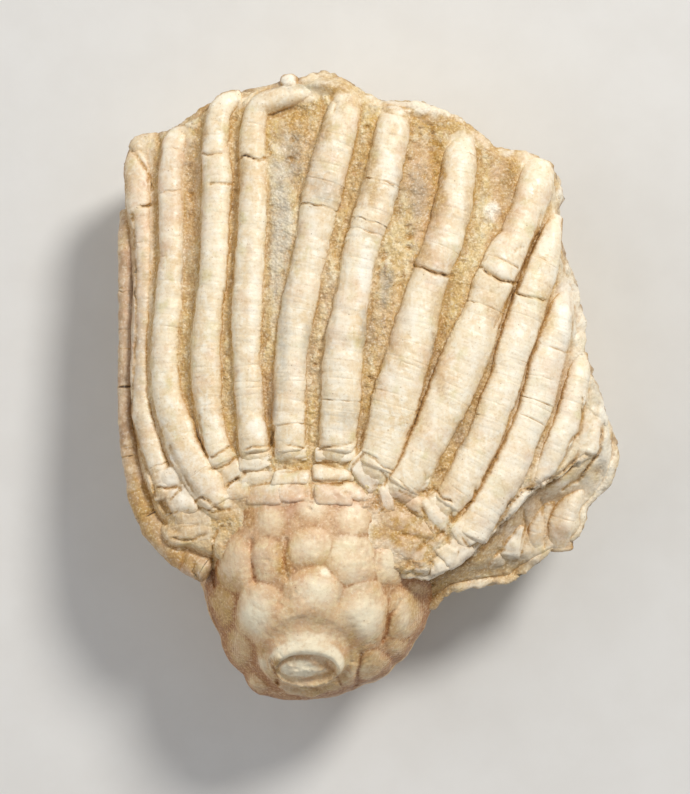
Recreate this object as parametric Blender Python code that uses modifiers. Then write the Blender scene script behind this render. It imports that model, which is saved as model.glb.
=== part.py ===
"""A fossil crinoid crown in one piece of stone, lying on its back.

The cup (calyx) is a bulging bowl of fused plates. The scar of the stem is a ringed disc at its foot,
turned half-way up. Arms fan out from the cup as round ridges, over a slab of matrix that is broken off
at the sides and flat underneath. A ledge of the same stone lies lower, at the right of the cup.

The frame: +Y runs from the stem scar to the arm tips, +X to the right of someone who looks down on the
crown, and +Z up. The origin is in the middle of the outline, on the surface that the stone lies on.
Sizes are in millimetres here, and become metres where the meshes are made.
"""

import math

import bmesh
import bpy
from mathutils import Matrix, Vector, noise

MM = 0.001
NAME = "crinoid_fossil"

# The crown's face: a shallow dome. The matrix ends at it, and the arms' centre lines run on it.
FACE_CENTRE = Vector((0.0, -8.0, -8.0))
FACE_RADII = Vector((38.0, 70.0, 27.5))

# The cup: an ellipsoid of plates.
CUP_CENTRE = Vector((-4.5, -14.6, 10.9))
CUP_RADII = Vector((10.7, 13.4, 10.4))
PLATE_HEIGHT = 0.5
PLATE_EDGE = 0.14  # how far a plate's edge slopes, as an angle in radians seen from the cup's centre
# Rings of plates round the stem scar: degrees from the axis, how many, degrees to the first one.
PLATE_RINGS = ((30, 7, 0), (50, 13, -4), (69, 17, 6), (90, 17, 0), (113, 13, 0), (140, 9, 0), (165, 3, 0))

# The stem scar: a raised ring on the cup, with a low boss in it.
SCAR_LEAN = math.radians(42)  # from straight up, towards the stone's foot end
SCAR_RADIUS = 5.2
# Height over the plane that touches the cup, at each distance from the scar's middle.
SCAR_PROFILE = ((0.0, 0.35), (1.4, 0.2), (2.2, -0.2), (2.9, 0.55), (3.6, 0.95), (4.3, 0.5), (5.2, -0.9))

# The arms from left to right, then the three on the ledge. Each has its half-width at the cup, its
# half-width at the tip, how deep its centre line is under the crown's face, and the points that this
# line runs through, seen from above.
ARMS = (
    (1.0, 0.9, 8.4, (
        (-12.8, -15.4), (-15.8, -12.9), (-18.4, -9.0), (-19.9, -3.0), (-20.1, 4.0), (-19.9, 13.0))),
    (1.1, 1.0, 5.9, (
        (-13.4, -15.8), (-16.2, -13.8), (-18.8, -10.2), (-20.4, -4.0), (-20.7, 5.0), (-20.6, 17.0))),
    (1.1, 1.0, 3.4, (
        (-14.0, -16.0), (-17.0, -14.2), (-19.4, -11.4), (-20.9, -7.0), (-21.4, 0.0), (-21.2, 18.0))),
    (1.2, 1.2, 0.6, (
        (-16.6, -10.4), (-19.2, -5.2), (-20.4, 2.0), (-19.8, 11.5), (-20.1, 17.0), (-19.9, 22.4))),
    (1.7, 1.2, 0.1, (
        (-13.4, -10.4), (-16.1, -6.0), (-18.2, 3.0), (-17.6, 10.5), (-17.6, 17.0), (-17.3, 23.2))),
    (1.2, 1.3, 0.0, (
        (-12.3, -8.8), (-13.9, -4.2), (-14.4, 1.5), (-13.9, 9.0), (-13.6, 17.0), (-13.4, 25.6))),
    (1.4, 1.3, 0.0, (
        (-10.1, -8.8), (-10.3, -4.2), (-11.0, 3.3), (-10.3, 19.0), (-10.0, 24.0), (-5.2, 26.6))),
    (1.4, 1.5, 0.0, ((-7.0, -8.8), (-7.0, -2.0), (-6.6, 4.0), (-5.2, 11.5), (-3.7, 19.0), (-2.2, 26.4))),
    (1.5, 1.6, 0.0, ((-2.9, -8.8), (-2.6, -3.0), (-2.1, 4.0), (-0.7, 12.0), (1.1, 18.5), (2.3, 24.6))),
    (1.6, 1.6, 0.0, ((0.0, -9.2), (1.7, -4.8), (3.6, 2.0), (5.3, 8.8), (7.2, 13.8), (8.5, 22.0))),
    (1.5, 1.5, 0.0, ((3.6, -10.2), (5.6, -4.4), (8.4, 2.0), (10.9, 8.2), (13.2, 13.4), (15.2, 20.8))),
    (1.5, 1.3, 0.0, ((6.8, -12.2), (10.2, -5.0), (12.8, 2.0), (14.8, 7.8), (16.2, 13.6), (16.9, 18.4))),
    (1.5, 1.5, 0.2, ((8.8, -13.9), (11.7, -8.9), (14.6, -2.6), (16.6, 4.2), (18.2, 10.4))),
    (1.3, 1.2, 0.2, ((14.0, -9.0), (16.6, -5.2), (18.0, -1.2), (18.9, 2.6))),
    (1.0, 0.9, 0.8, ((18.2, -8.4), (19.7, -6.1), (20.2, -3.9), (20.2, -0.2))),
    (0.9, 0.8, 5.0, ((12.8, -14.9), (13.0, -12.9), (13.7, -10.9), (15.6, -8.8))),
    (0.9, 0.8, 4.6, ((14.9, -14.5), (15.1, -12.2), (15.9, -10.2), (18.0, -8.0))),
    (0.9, 0.8, 4.2, ((16.5, -14.2), (16.7, -12.4), (17.5, -10.4), (19.6, -7.6))),
)
ARM_STEP = 0.9  # spacing of the points that an arm is drawn through
# Two blocks at the foot of each arm stand a little proud of the grooves between them.
BLOCK_LENGTH = 1.7
BLOCK_SWELL = 0.13
BLOCKS_END = 3.4

# The slab of matrix behind the arms, seen from above, anticlockwise from its lower left.
SLAB_OUTLINE = (
    (-13.0, -15.6), (-16.6, -13.6), (-19.2, -10.2), (-20.8, -5.4), (-21.2, 1.0), (-21.0, 9.0), (-21.1, 17.0),
    (-21.2, 20.6), (-20.5, 22.6), (-17.4, 23.3), (-14.8, 25.1), (-11.4, 26.4), (-8.3, 27.0), (-7.2, 28.1),
    (-6.2, 27.6), (-4.1, 28.3), (-2.1, 27.8), (0.8, 25.8), (4.6, 25.5), (8.4, 24.4), (11.6, 21.5),
    (15.5, 20.8), (17.1, 19.0), (17.6, 16.8), (17.4, 12.8), (18.9, 9.2), (19.4, 5.0), (19.2, 3.6),
    (20.6, 0.4), (21.3, -3.0), (20.6, -6.0), (17.6, -8.2), (15.0, -9.2), (12.4, -11.8), (9.6, -15.0),
    (5.2, -17.2), (-4.0, -16.0),
)
# The ledge below the arms at the lower right, a piece of the crown that slipped down.
LEDGE_OUTLINE = (
    (4.5, -19.6), (7.2, -18.4), (9.8, -17.9), (12.8, -17.4), (15.8, -15.5), (18.9, -13.7), (19.7, -12.6),
    (19.6, -11.3), (20.9, -9.9), (22.0, -8.2), (22.4, -6.2), (21.8, -3.6), (20.4, 0.6), (15.0, 2.0),
    (8.0, -4.0), (2.0, -12.0),
)
LEDGE_TOP = 12.9
LEDGE_SLOPE = Vector((-0.10, 0.08))  # how its top falls towards the lower right, in millimetres a millimetre
SLAB_TOP = 26.0  # above the crown's face, which trims it
SLAB_MIDDLE = Vector((-1.0, 4.0))
LEDGE_MIDDLE = Vector((9.0, -4.0))

# The broken sides lean in below a height, by a share of their distance from the piece's middle, and are
# lumpy all over.
UNDERCUT_FROM = 12.0
SLAB_UNDERCUT = 0.17
LEDGE_UNDERCUT = 0.28
ROUGH_GRAIN = 1.0
ROUGH_LUMP = 4.5
ROUGH_HEIGHT = 0.55
ROUGH_SEED = 5

FUSE_GRAIN = 0.36  # the size of detail that is kept where the shapes grow together
FACES_KEPT = 0.068  # the share of the fused surface's faces that the finished stone keeps
BASE_DEPTH = 12.0

STONE_COLOUR = (0.72, 0.57, 0.40, 1.0)
STONE_ROUGHNESS = 0.62


def clear_scene():
    for old in list(bpy.data.objects):
        bpy.data.objects.remove(old)


def new_collection(name):
    collection = bpy.data.collections.new(name)
    bpy.context.scene.collection.children.link(collection)
    return collection


def add_mesh_object(name, mesh, collection):
    made = bpy.data.objects.new(name, mesh)
    collection.objects.link(made)
    return made


def set_aside(helper):
    """Marks a cutter or a helper, which isn't part of the stone."""
    helper.hide_render = True
    helper.display_type = "WIRE"


def baked(obj):
    """The object's mesh with its modifiers applied, in place. The object itself is removed."""
    bpy.context.view_layer.update()
    seen = obj.evaluated_get(bpy.context.evaluated_depsgraph_get())
    mesh = bpy.data.meshes.new_from_object(seen)
    mesh.transform(obj.matrix_world)
    bpy.data.objects.remove(obj)
    return mesh


def smooth_line(points, step):
    """Points about a step apart on a Catmull-Rom curve through the given ones."""
    ends = [2 * points[0] - points[1], *points, 2 * points[-1] - points[-2]]
    line = []
    for before, start, end, after in zip(ends, ends[1:], ends[2:], ends[3:]):
        pieces = max(1, round((end - start).length / step))
        for i in range(pieces):
            t = i / pieces
            bend = 2 * before - 5 * start + 4 * end - after
            twist = -before + 3 * start - 3 * end + after
            line.append(start + 0.5 * ((end - before) * t + bend * t**2 + twist * t**3))
    return [*line, points[-1]]


def face_height(x, y):
    """How high the crown's face is over a place on the ground."""
    across = ((x - FACE_CENTRE.x) / FACE_RADII.x) ** 2 + ((y - FACE_CENTRE.y) / FACE_RADII.y) ** 2
    return FACE_CENTRE.z + FACE_RADII.z * math.sqrt(max(0.0, 1 - across))


def make_arm(base, tip, depth, route, collection):
    """One arm: a round tube along its route, with swollen blocks at its foot."""
    points = [Vector((x, y, face_height(x, y) - depth)) for x, y in route]
    line = smooth_line(points, ARM_STEP)
    curve = bpy.data.curves.new("arm", "CURVE")
    curve.dimensions = "3D"
    curve.bevel_depth = MM
    curve.bevel_resolution = 3
    curve.use_fill_caps = True
    spline = curve.splines.new("POLY")
    spline.points.add(len(line) - 1)
    along = 0.0
    for i, (target, place) in enumerate(zip(spline.points, line)):
        along += (place - line[i - 1]).length if i else 0.0
        width = base + (tip - base) * i / (len(line) - 1)
        if along < BLOCKS_END:
            width *= 1 - BLOCK_SWELL * math.cos(2 * math.pi * along / BLOCK_LENGTH)
        target.co = (*(place * MM), 1.0)
        target.radius = width
    mesh = baked(add_mesh_object("arm", curve, collection))
    weld(mesh)
    return mesh


def weld(mesh):
    work = bmesh.new()
    work.from_mesh(mesh)
    bmesh.ops.remove_doubles(work, verts=work.verts, dist=1e-6)
    work.to_mesh(mesh)
    work.free()


def scar_axis():
    """The way that the stem scar faces."""
    return Vector((0.0, -math.sin(SCAR_LEAN), math.cos(SCAR_LEAN)))


def scar_middle():
    """The point of the cup's ellipsoid whose surface faces along the scar's axis."""
    axis = scar_axis()
    stretched = Vector(r * r * a for r, a in zip(CUP_RADII, axis))
    return CUP_CENTRE + stretched / math.sqrt(stretched.dot(axis))


def scar_height(distance):
    for (r0, h0), (r1, h1) in zip(SCAR_PROFILE, SCAR_PROFILE[1:]):
        if distance <= r1:
            t = (distance - r0) / (r1 - r0)
            return h0 + (h1 - h0) * t * t * (3 - 2 * t)
    return SCAR_PROFILE[-1][1]


def plate_middles():
    """The middle of each plate, as a direction from the cup's centre, in rings round the stem scar."""
    pole = (scar_middle() - CUP_CENTRE)
    pole = Vector(p / r for p, r in zip(pole, CUP_RADII)).normalized()
    side = Vector((1, 0, 0))
    middles = []
    for from_axis, count, first in PLATE_RINGS:
        tilted = Matrix.Rotation(-math.radians(from_axis), 3, side) @ pole
        for i in range(count):
            turn = math.radians(first) + 2 * math.pi * i / count
            middles.append(Matrix.Rotation(turn, 3, pole) @ tilted)
    return middles


def make_cup():
    """The cup: a sphere's points moved out to the ellipsoid, its plates and the stem scar."""
    mesh = bpy.data.meshes.new("cup")
    work = bmesh.new()
    bmesh.ops.create_icosphere(work, subdivisions=6, radius=1.0)
    middles = plate_middles()
    axis, scar = scar_axis(), scar_middle()
    for v in work.verts:
        out = v.co.normalized()
        near, next_near = sorted(out.angle(m) for m in middles)[:2]
        rise = PLATE_HEIGHT * (1 - math.exp(-(((next_near - near) / PLATE_EDGE) ** 2)) - (near / 0.5) ** 2)
        place = CUP_CENTRE + Vector(o * (r + rise) for o, r in zip(out, CUP_RADII))
        over = (place - scar).dot(axis)
        distance = (place - scar - over * axis).length
        if over > -CUP_RADII.z / 2 and distance < SCAR_RADIUS:
            place += (scar_height(distance) - over) * axis
        v.co = place * MM
    work.to_mesh(mesh)
    work.free()
    return mesh


def make_prism(name, outline, top, collection):
    """An outline, drawn on the ground, carried up to a height."""
    curve = bpy.data.curves.new(name, "CURVE")
    curve.dimensions = "2D"
    curve.fill_mode = "BOTH"
    curve.extrude = (top + BASE_DEPTH) / 2 * MM
    spline = curve.splines.new("POLY")
    spline.points.add(len(outline) - 1)
    for target, (x, y) in zip(spline.points, outline):
        target.co = (x * MM, y * MM, 0.0, 1.0)
    spline.use_cyclic_u = True
    prism = add_mesh_object(name, curve, collection)
    prism.location.z = (top - BASE_DEPTH) / 2 * MM
    mesh = baked(prism)
    weld(mesh)
    return add_mesh_object(name, mesh, collection)


def make_dome(collection):
    """The solid under the crown's face."""
    mesh = bpy.data.meshes.new("crown_face")
    work = bmesh.new()
    bmesh.ops.create_uvsphere(work, u_segments=96, v_segments=64, radius=1.0)
    bmesh.ops.scale(work, verts=work.verts, vec=FACE_RADII * MM)
    bmesh.ops.translate(work, verts=work.verts, vec=FACE_CENTRE * MM)
    work.to_mesh(mesh)
    work.free()
    dome = add_mesh_object("crown_face", mesh, collection)
    set_aside(dome)
    return dome


def remesh(obj, grain):
    modifier = obj.modifiers.new("even_faces", "REMESH")
    modifier.mode = "VOXEL"
    modifier.voxel_size = grain * MM


def break_sides(mesh, middle, undercut):
    """Leans the sides in towards the bottom, and makes their surface lumpy as broken stone is."""
    for v in mesh.vertices:
        place = v.co / MM
        low = min(max(1 - place.z / UNDERCUT_FROM, 0.0), 1.5)
        pull = 1 - undercut * low**2
        lump = ROUGH_HEIGHT * noise.noise_vector(place / ROUGH_LUMP)
        place.x = middle.x + (place.x - middle.x) * pull
        place.y = middle.y + (place.y - middle.y) * pull
        v.co = (place + lump) * MM
    mesh.update()


def make_slab(collection):
    """The matrix behind the arms: its outline, trimmed by the crown's face and broken at the sides."""
    slab = make_prism("slab", SLAB_OUTLINE, SLAB_TOP, collection)
    trim = slab.modifiers.new("crown_face", "BOOLEAN")
    trim.operation = "INTERSECT"
    trim.object = make_dome(collection)
    remesh(slab, ROUGH_GRAIN)
    mesh = baked(slab)
    break_sides(mesh, SLAB_MIDDLE, SLAB_UNDERCUT)
    return mesh


def make_ledge(collection):
    """The lower ledge at the right: a prism with a sloping top, broken at the sides."""
    ledge = make_prism("ledge", LEDGE_OUTLINE, LEDGE_TOP, collection)
    for v in ledge.data.vertices:
        if v.co.z > 0:
            fall = LEDGE_SLOPE.x * (v.co.x / MM - 12) + LEDGE_SLOPE.y * (v.co.y / MM + 10)
            v.co.z += fall * MM
    remesh(ledge, ROUGH_GRAIN)
    mesh = baked(ledge)
    break_sides(mesh, LEDGE_MIDDLE, LEDGE_UNDERCUT)
    return mesh


def make_base_cutter(collection):
    """A block under the ground. What it cuts away leaves the flat that the stone rests on."""
    mesh = bpy.data.meshes.new("base_cutter")
    work = bmesh.new()
    bmesh.ops.create_cube(work, size=1.0)
    bmesh.ops.scale(work, verts=work.verts, vec=Vector((80, 80, 2 * BASE_DEPTH)) * MM)
    bmesh.ops.translate(work, verts=work.verts, vec=Vector((0, 0, -BASE_DEPTH)) * MM)
    work.to_mesh(mesh)
    work.free()
    cutter = add_mesh_object("base_cutter", mesh, collection)
    set_aside(cutter)
    return cutter


def stone_material():
    material = bpy.data.materials.new("fossil_stone")
    material.use_nodes = True
    shader = material.node_tree.nodes["Principled BSDF"]
    shader.inputs["Base Color"].default_value = STONE_COLOUR
    shader.inputs["Roughness"].default_value = STONE_ROUGHNESS
    shader.inputs["Metallic"].default_value = 0.0
    return material


def main():
    clear_scene()
    noise.seed_set(ROUGH_SEED)
    stones = new_collection(NAME)
    helpers = new_collection("helpers")
    shapes = [make_slab(helpers), make_ledge(helpers), make_cup()]
    shapes += [make_arm(*arm, helpers) for arm in ARMS]
    work = bmesh.new()
    for shape in shapes:
        work.from_mesh(shape)
    mesh = bpy.data.meshes.new(NAME)
    work.to_mesh(mesh)
    work.free()
    mesh.materials.append(stone_material())
    stone = add_mesh_object(NAME, mesh, stones)
    remesh(stone, FUSE_GRAIN)
    fewer = stone.modifiers.new("fewer_faces", "DECIMATE")
    fewer.ratio = FACES_KEPT
    flat = stone.modifiers.new("rest_face", "BOOLEAN")
    flat.operation = "DIFFERENCE"
    flat.object = make_base_cutter(helpers)


main()
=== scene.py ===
"""The looks of a fossil crinoid crown: its arms, plates, cup and matrix as fine stone surfaces.

The shapes here stand in the CAD stone's place and follow its sizes. Sizes are in millimetres and
become metres where the meshes are made. Places given as "photo" pairs are pixels of a picture that
is 690 by 794, seen from straight above; on_surface() puts them on the stone.
"""

import math

import bmesh
import bpy
import numpy as np
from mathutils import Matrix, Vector, noise


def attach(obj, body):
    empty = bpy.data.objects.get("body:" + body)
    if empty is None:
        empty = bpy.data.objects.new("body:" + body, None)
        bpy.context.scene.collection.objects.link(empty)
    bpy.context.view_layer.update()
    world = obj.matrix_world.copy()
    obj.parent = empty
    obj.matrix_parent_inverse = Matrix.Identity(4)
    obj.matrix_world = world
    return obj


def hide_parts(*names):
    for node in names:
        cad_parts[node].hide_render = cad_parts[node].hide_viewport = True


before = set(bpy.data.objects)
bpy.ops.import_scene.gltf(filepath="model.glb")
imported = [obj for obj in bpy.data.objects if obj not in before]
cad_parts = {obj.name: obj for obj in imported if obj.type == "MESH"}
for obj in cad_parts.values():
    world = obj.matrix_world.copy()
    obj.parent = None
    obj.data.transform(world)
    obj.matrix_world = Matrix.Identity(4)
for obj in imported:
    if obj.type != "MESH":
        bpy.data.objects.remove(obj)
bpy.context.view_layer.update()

MM = 0.001
BODY = "root"
NODE = "crinoid_fossil"

# The picture: one pixel's width on the plane that is sharpest, and the place of its middle.
PIXEL = 0.09
PICTURE = (690, 794)
FOCUS_HEIGHT = 15.0
EYE = np.array((-2.07, -0.9, 283.0))
LENS, SENSOR = 135.0, 36.0

# The crown's face, the cup and the stem scar, as in the CAD stone.
FACE_CENTRE = np.array((0.0, -8.0, -8.0))
FACE_RADII = np.array((38.0, 70.0, 27.5))
CUP_CENTRE = np.array((-4.5, -14.6, 10.9))
CUP_RADII = np.array((10.7, 13.4, 10.4))
SCAR_LEAN = math.radians(42)
SCAR_AXIS = np.array((0.0, -math.sin(SCAR_LEAN), math.cos(SCAR_LEAN)))

# The matrix behind the arms and the ledge beside the cup, seen from above, a little wider than the CAD stone.
SLAB_OUTLINE = (
    (-13.0, -15.6), (-16.8, -13.9), (-19.3, -10.3), (-20.8, -5.4), (-21.2, 1.0), (-21.0, 9.0), (-21.7, 17.0),
    (-21.8, 20.6), (-20.9, 22.9), (-17.6, 23.7), (-14.9, 25.4), (-11.5, 26.7), (-8.4, 27.5), (-7.2, 28.0),
    (-6.2, 27.8), (-4.1, 28.3), (-2.1, 27.8), (0.8, 25.8), (4.6, 25.5), (8.4, 24.4), (11.6, 21.5),
    (15.5, 20.8), (17.1, 19.0), (17.6, 16.8), (17.4, 12.8), (18.9, 9.2), (19.4, 5.0), (19.2, 3.6),
    (20.6, 0.4), (21.5, -3.0), (20.6, -6.0), (17.6, -8.2), (15.0, -9.2), (12.4, -11.8), (9.6, -15.0),
    (5.2, -17.2), (-4.0, -16.0),
)
LEDGE_OUTLINE = (
    (4.9, -20.3), (6.0, -20.0), (7.6, -18.6), (9.9, -18.1), (12.9, -17.7), (16.0, -15.9), (19.2, -14.0),
    (20.1, -12.8), (20.0, -11.4), (21.2, -10.1), (22.4, -8.4), (22.8, -6.2), (22.2, -3.6), (20.4, 0.6),
    (15.0, 2.0), (8.0, -4.0), (2.0, -12.0),
)
LEDGE_TOP = 12.9  # at the pivot, from where the ledge's top slopes
LEDGE_SLOPE = (-0.10, 0.08)
LEDGE_PIVOT = (12.0, -10.0)
SLAB_TOP = 26.0  # over the crown's face, which trims it
SLAB_MIDDLE = (-1.0, 4.0)
LEDGE_MIDDLE = (9.0, -4.0)
BASE_DEPTH = 12.0  # how far the stone starts under the ground, which cuts it off
UNDERCUT_FROM = 12.0  # the height where the sides begin to lean in
SLAB_UNDERCUT, LEDGE_UNDERCUT = 0.17, 0.28
LUMP, LUMP_HEIGHT, LUMP_SEED = 4.5, 0.55, 5

# The arms, from left to right. Each has photo points (x, y, full width) from its foot to its tip, its
# open cracks (photo y, how strong), and how deep its middle is under the crown's face.
ARMS = {
    "arm_edge_low": (7.4, (
        (226, 558, 22), (192, 530, 22), (164, 487, 22), (147, 420, 21), (145, 343, 20), (147, 243, 20)), ()),
    "arm_edge_mid": (4.5, (
        (214, 567, 24), (182, 546, 26), (154, 505, 24), (138, 431, 23), (135, 331, 22), (136, 205, 20)), ()),
    "arm_edge_top": (1.25, (
        (206, 570, 27), (173, 548, 28), (148, 512, 27), (135, 470, 22), (129, 430, 19), (127, 385, 17), (128, 340, 18),
        (128, 290, 19), (128, 240, 19), (128, 213, 16)),
        ((514, 0.7), (330, 0.5), (293, 0.4))),
    "arm_1": (0.5, (
        (168, 486, 28), (161, 468, 28), (152, 440, 27), (146, 420, 26), (143, 400, 24), (142, 380, 22), (142, 340, 21),
        (144, 300, 21), (145, 250, 21), (143, 225, 23), (141, 205, 29), (139, 180, 31), (140, 160, 29), (144, 147, 26)),
        ((466, 0.4),)),
    "arm_2": (0.1, (
        (219, 503, 34), (205, 480, 40), (187, 450, 37), (180, 430, 35), (170, 400, 32), (167, 380, 30),
        (166, 340, 29), (170, 300, 28), (173, 250, 26), (172, 220, 25), (171, 180, 26), (174, 150, 27),
        (180, 136, 26)),
        ((194, 0.45), (154, 0.4))),
    "arm_3": (0.0, (
        (222, 462, 27), (217, 447, 28), (212, 425, 27), (208, 400, 28), (207, 380, 30), (207, 340, 31),
        (211, 300, 28), (215, 260, 28), (216, 220, 29), (218, 180, 31), (216, 145, 27), (219, 118, 26),
        (226, 105, 24), (240, 99, 20)),
        ()),
    "arm_4": (0.0, (
        (255, 450, 31), (253, 430, 29), (250, 400, 28), (247, 350, 28), (248, 300, 31), (251, 250, 29),
        (254, 200, 28), (253, 150, 26), (254, 125, 25), (262, 106, 23), (285, 97, 21), (312, 92, 18)),
        ()),
    "arm_5": (0.0, (
        (291, 449, 31), (289, 420, 32), (290, 390, 32), (292, 350, 32), (300, 300, 34), (311, 250, 33),
        (321, 200, 37), (334, 150, 36), (343, 116, 33), (348, 98, 29)),
        ((209, 0.9), (183, 0.35), (425, 0.5))),
    "arm_6": (0.0, (
        (337, 449, 35), (339, 430, 36), (341, 400, 38), (344, 350, 38), (352, 300, 34), (361, 250, 34),
        (377, 200, 36), (389, 150, 34), (394, 122, 33), (396, 112, 29)),
        ((184, 0.9), (223, 0.6), (233, 0.5), (401, 0.35))),
    "arm_7": (0.0, (
        (376, 466, 38), (385, 442, 43), (396, 400, 45), (410, 350, 43), (422, 302, 38), (432, 271, 36),
        (444, 240, 37), (454, 200, 36), (460, 158, 32), (462, 143, 27)),
        ()),
    "arm_8": (0.0, (
        (403, 485, 36), (415, 466, 39), (428, 440, 37), (447, 400, 43), (468, 350, 46), (480, 320, 40),
        (491, 288, 38), (504, 258, 37), (516, 238, 34), (529, 205, 36), (536, 180, 36), (538, 164, 32)),
        ((308, 0.4),)),
    "arm_9": (0.0, (
        (447, 503, 33), (458, 488, 35), (468, 468, 35), (484, 438, 34), (495, 405, 34), (505, 380, 33),
        (513, 350, 34), (524, 318, 37), (533, 290, 35), (542, 262, 33), (549, 240, 25), (554, 218, 18)),
        ((420, 0.3),)),
    "arm_10": (0.2, (
        (470, 535, 37), (482, 510, 38), (502, 480, 37), (520, 440, 34), (536, 400, 36), (548, 350, 37),
        (558, 318, 30), (564, 292, 22)),
        ((420, 0.3), (402, 0.35))),
    "arm_11": (0.3, (
        (538, 481, 16), (545, 466, 23), (554, 448, 26), (563, 428, 28), (571, 402, 27), (577, 378, 25),
        (578, 355, 20)),
        ()),
    "arm_12": (0.8, (
        (588, 451, 22), (591, 438, 23), (593, 418, 21), (593, 396, 17)),
        ()),
    "ledge_arm_0": (4.9, ((512, 553, 16), (513, 534, 20), (520, 510, 20), (535, 490, 16)), ()),
    "ledge_arm_1": (4.5, ((533, 553, 20), (536, 528, 23), (544, 504, 22), (562, 482, 15)), ((530, 0.2),)),
    "ledge_arm_2": (4.2, ((560, 548, 26), (560, 527, 30), (568, 503, 26), (584, 481, 18)), ()),
}
ARM_WIDTH = 1.02  # the share of an arm's seen width that its own stone takes up; crust takes the rest
TIP_SINK, TIP_REACH = 0.75, 1.3
SUTURE_DEPTH = 0.010
# The sutures of the arms on the face and of those on the edge: distance apart, boldness, half width.
FACE_SUTURES, EDGE_SUTURES = (0.43, 1.0, 0.055), (0.95, 7.0, 0.10)
LEDGE_ARM_DEPTH = 0.50
CRACK_DEPTH, CRACK_HALF = 0.42, 0.10

# The blocks between the arms and the cup: photo middle, width, length, degrees turned to the left, how
# far they stand proud, and how pale they are.
BLOCKS = (
    (289, 82, 17, 17, 0, 0.40, 0.8), (221, 459, 25, 11, 27, 0.62, 0.2), (226, 474, 30, 17, 27, 0.58, 0.1),
    (238, 489, 26, 18, 10, 0.44, 0.0), (257, 462, 29, 15, 4, 0.72, 0.9), (258, 477, 34, 13, 4, 0.50, 0.1),
    (264, 494, 32, 18, 2, 0.28, 0.0), (290, 453, 30, 12, 0, 0.68, 0.4), (291, 478, 31, 13, 2, 0.50, 0.1),
    (291, 493, 26, 15, 0, 0.24, 0.0), (336, 454, 33, 12, 1, 0.74, 1.0), (333, 474, 34, 13, -2, 0.50, 0.2),
    (334, 495, 32, 17, -4, 0.26, 0.0), (369, 470, 25, 30, 44, 0.76, 1.0), (361, 492, 34, 16, -14, 0.30, 0.0),
    (386, 495, 11, 28, 8, 0.62, 0.8), (413, 478, 26, 15, -22, 0.70, 0.7), (405, 493, 28, 10, -26, 0.46, 0.4),
    (416, 504, 30, 15, -32, 0.50, 0.1), (437, 513, 22, 31, 24, 0.76, 0.7), (468, 529, 27, 23, 34, 0.70, 0.6),
    (455, 551, 26, 22, 36, 0.50, 0.3), (441, 563, 20, 15, 20, 0.34, 0.0), (172, 478, 26, 18, 14, 0.68, 0.6),
    (167, 493, 22, 10, 10, 0.60, 0.3), (183, 500, 25, 24, 20, 0.74, 0.9), (155, 483, 12, 20, 24, 0.46, 0.2),
    (200, 503, 22, 9, -8, 0.58, 0.3), (195, 517, 34, 18, -8, 0.54, 0.1), (190, 533, 44, 17, 8, 0.46, 0.0),
    (430, 533, 22, 26, 60, 0.44, 0.3), (396, 519, 28, 22, -10, 0.36, 0.1), (412, 545, 26, 24, -24, 0.40, 0.3),
    (216, 487, 18, 13, 12, 0.40, 0.1), (218, 503, 20, 12, 8, 0.34, 0.1),
)
LEDGE_BLOCKS = (
    (512, 540, 18, 28, -12, 0.75, 1.0), (489, 556, 24, 22, 20, 0.4, 0.4), (489, 538, 16, 14, 40, 0.6, 0.2),
    (468, 570, 20, 14, 10, 0.3, 0.3), (584, 462, 20, 26, -40, 0.45, 0.3),
)

# The cup's plates that the picture shows: photo middle, half sizes, how far they bulge, how pale.
CUP_PLATES = (
    (259, 613, 28, 34, 0.74, 1.0), (362, 614, 31, 37, 0.74, 0.9), (316, 593, 32, 29, 0.62, 0.9),
    (233, 564, 22, 36, 0.42, 0.4), (266, 560, 19, 28, 0.28, 0.2), (309, 547, 25, 22, 0.36, 0.6),
    (353, 562, 31, 32, 0.26, 0.5), (392, 561, 22, 26, 0.44, 1.0), (270, 519, 20, 24, 0.10, 0.3),
    (312, 508, 22, 18, 0.08, 0.6), (355, 517, 21, 24, 0.12, 0.5), (421, 573, 19, 25, 0.40, 0.3),
    (403, 617, 20, 32, 0.34, 0.4), (402, 647, 17, 17, 0.18, 0.1), (205, 562, 12, 32, 0.30, 0.1),
    (222, 607, 17, 34, 0.20, 0.1), (238, 646, 19, 25, 0.22, 0.2), (374, 668, 21, 19, 0.26, 0.2),
    (252, 683, 21, 17, 0.44, 0.6), (387, 523, 21, 23, 0.10, 0.2),
)
PLATE_RINGS = ((69, 15, 6), (90, 17, 0), (113, 13, 0), (140, 9, 0), (165, 3, 0))
CUP_VALLEY = -0.16
CUP_SIDE = 118  # squares to an edge of the cube that the cup is made from
RING_PLATE_SIZE, RING_PLATE_RISE, RING_PLATE_PALE = 0.24, 0.5, 0.1  # the rings' plates; size in radians
# Where the cup's side stands out further: turn about the upright axis and tilt in degrees, spread, push.
CUP_BULGES = (
    (244, -4, 17, 1.35), (225, 5, 12, 0.4), (262, -2, 20, 0.42), (200, 0, 16, 0.3), (310, 0, 12, 0.6),
    (285, 0, 14, 0.25), (335, 5, 14, 0.7),
)
# The stem scar: nested rings in the picture (middle, half sizes), each with its height over the scar's plane.
SCAR_RINGS = (
    (299, 669, 21, 8, 0.38), (307, 670, 29, 13, 0.14), (306, 667, 33, 18, 0.68), (307, 664, 45, 40, -0.66),
    (310, 660, 60, 56, -1.05),
)
SCAR_BOSS = 0.74
SCAR_REACH, SCAR_DEPTH = 8.5, 5  # how far out and down the scar's rings shape the cup
WORN_FROM, WORN_TO = 666, 688  # photo rows between which the scar's lower side becomes worn

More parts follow.
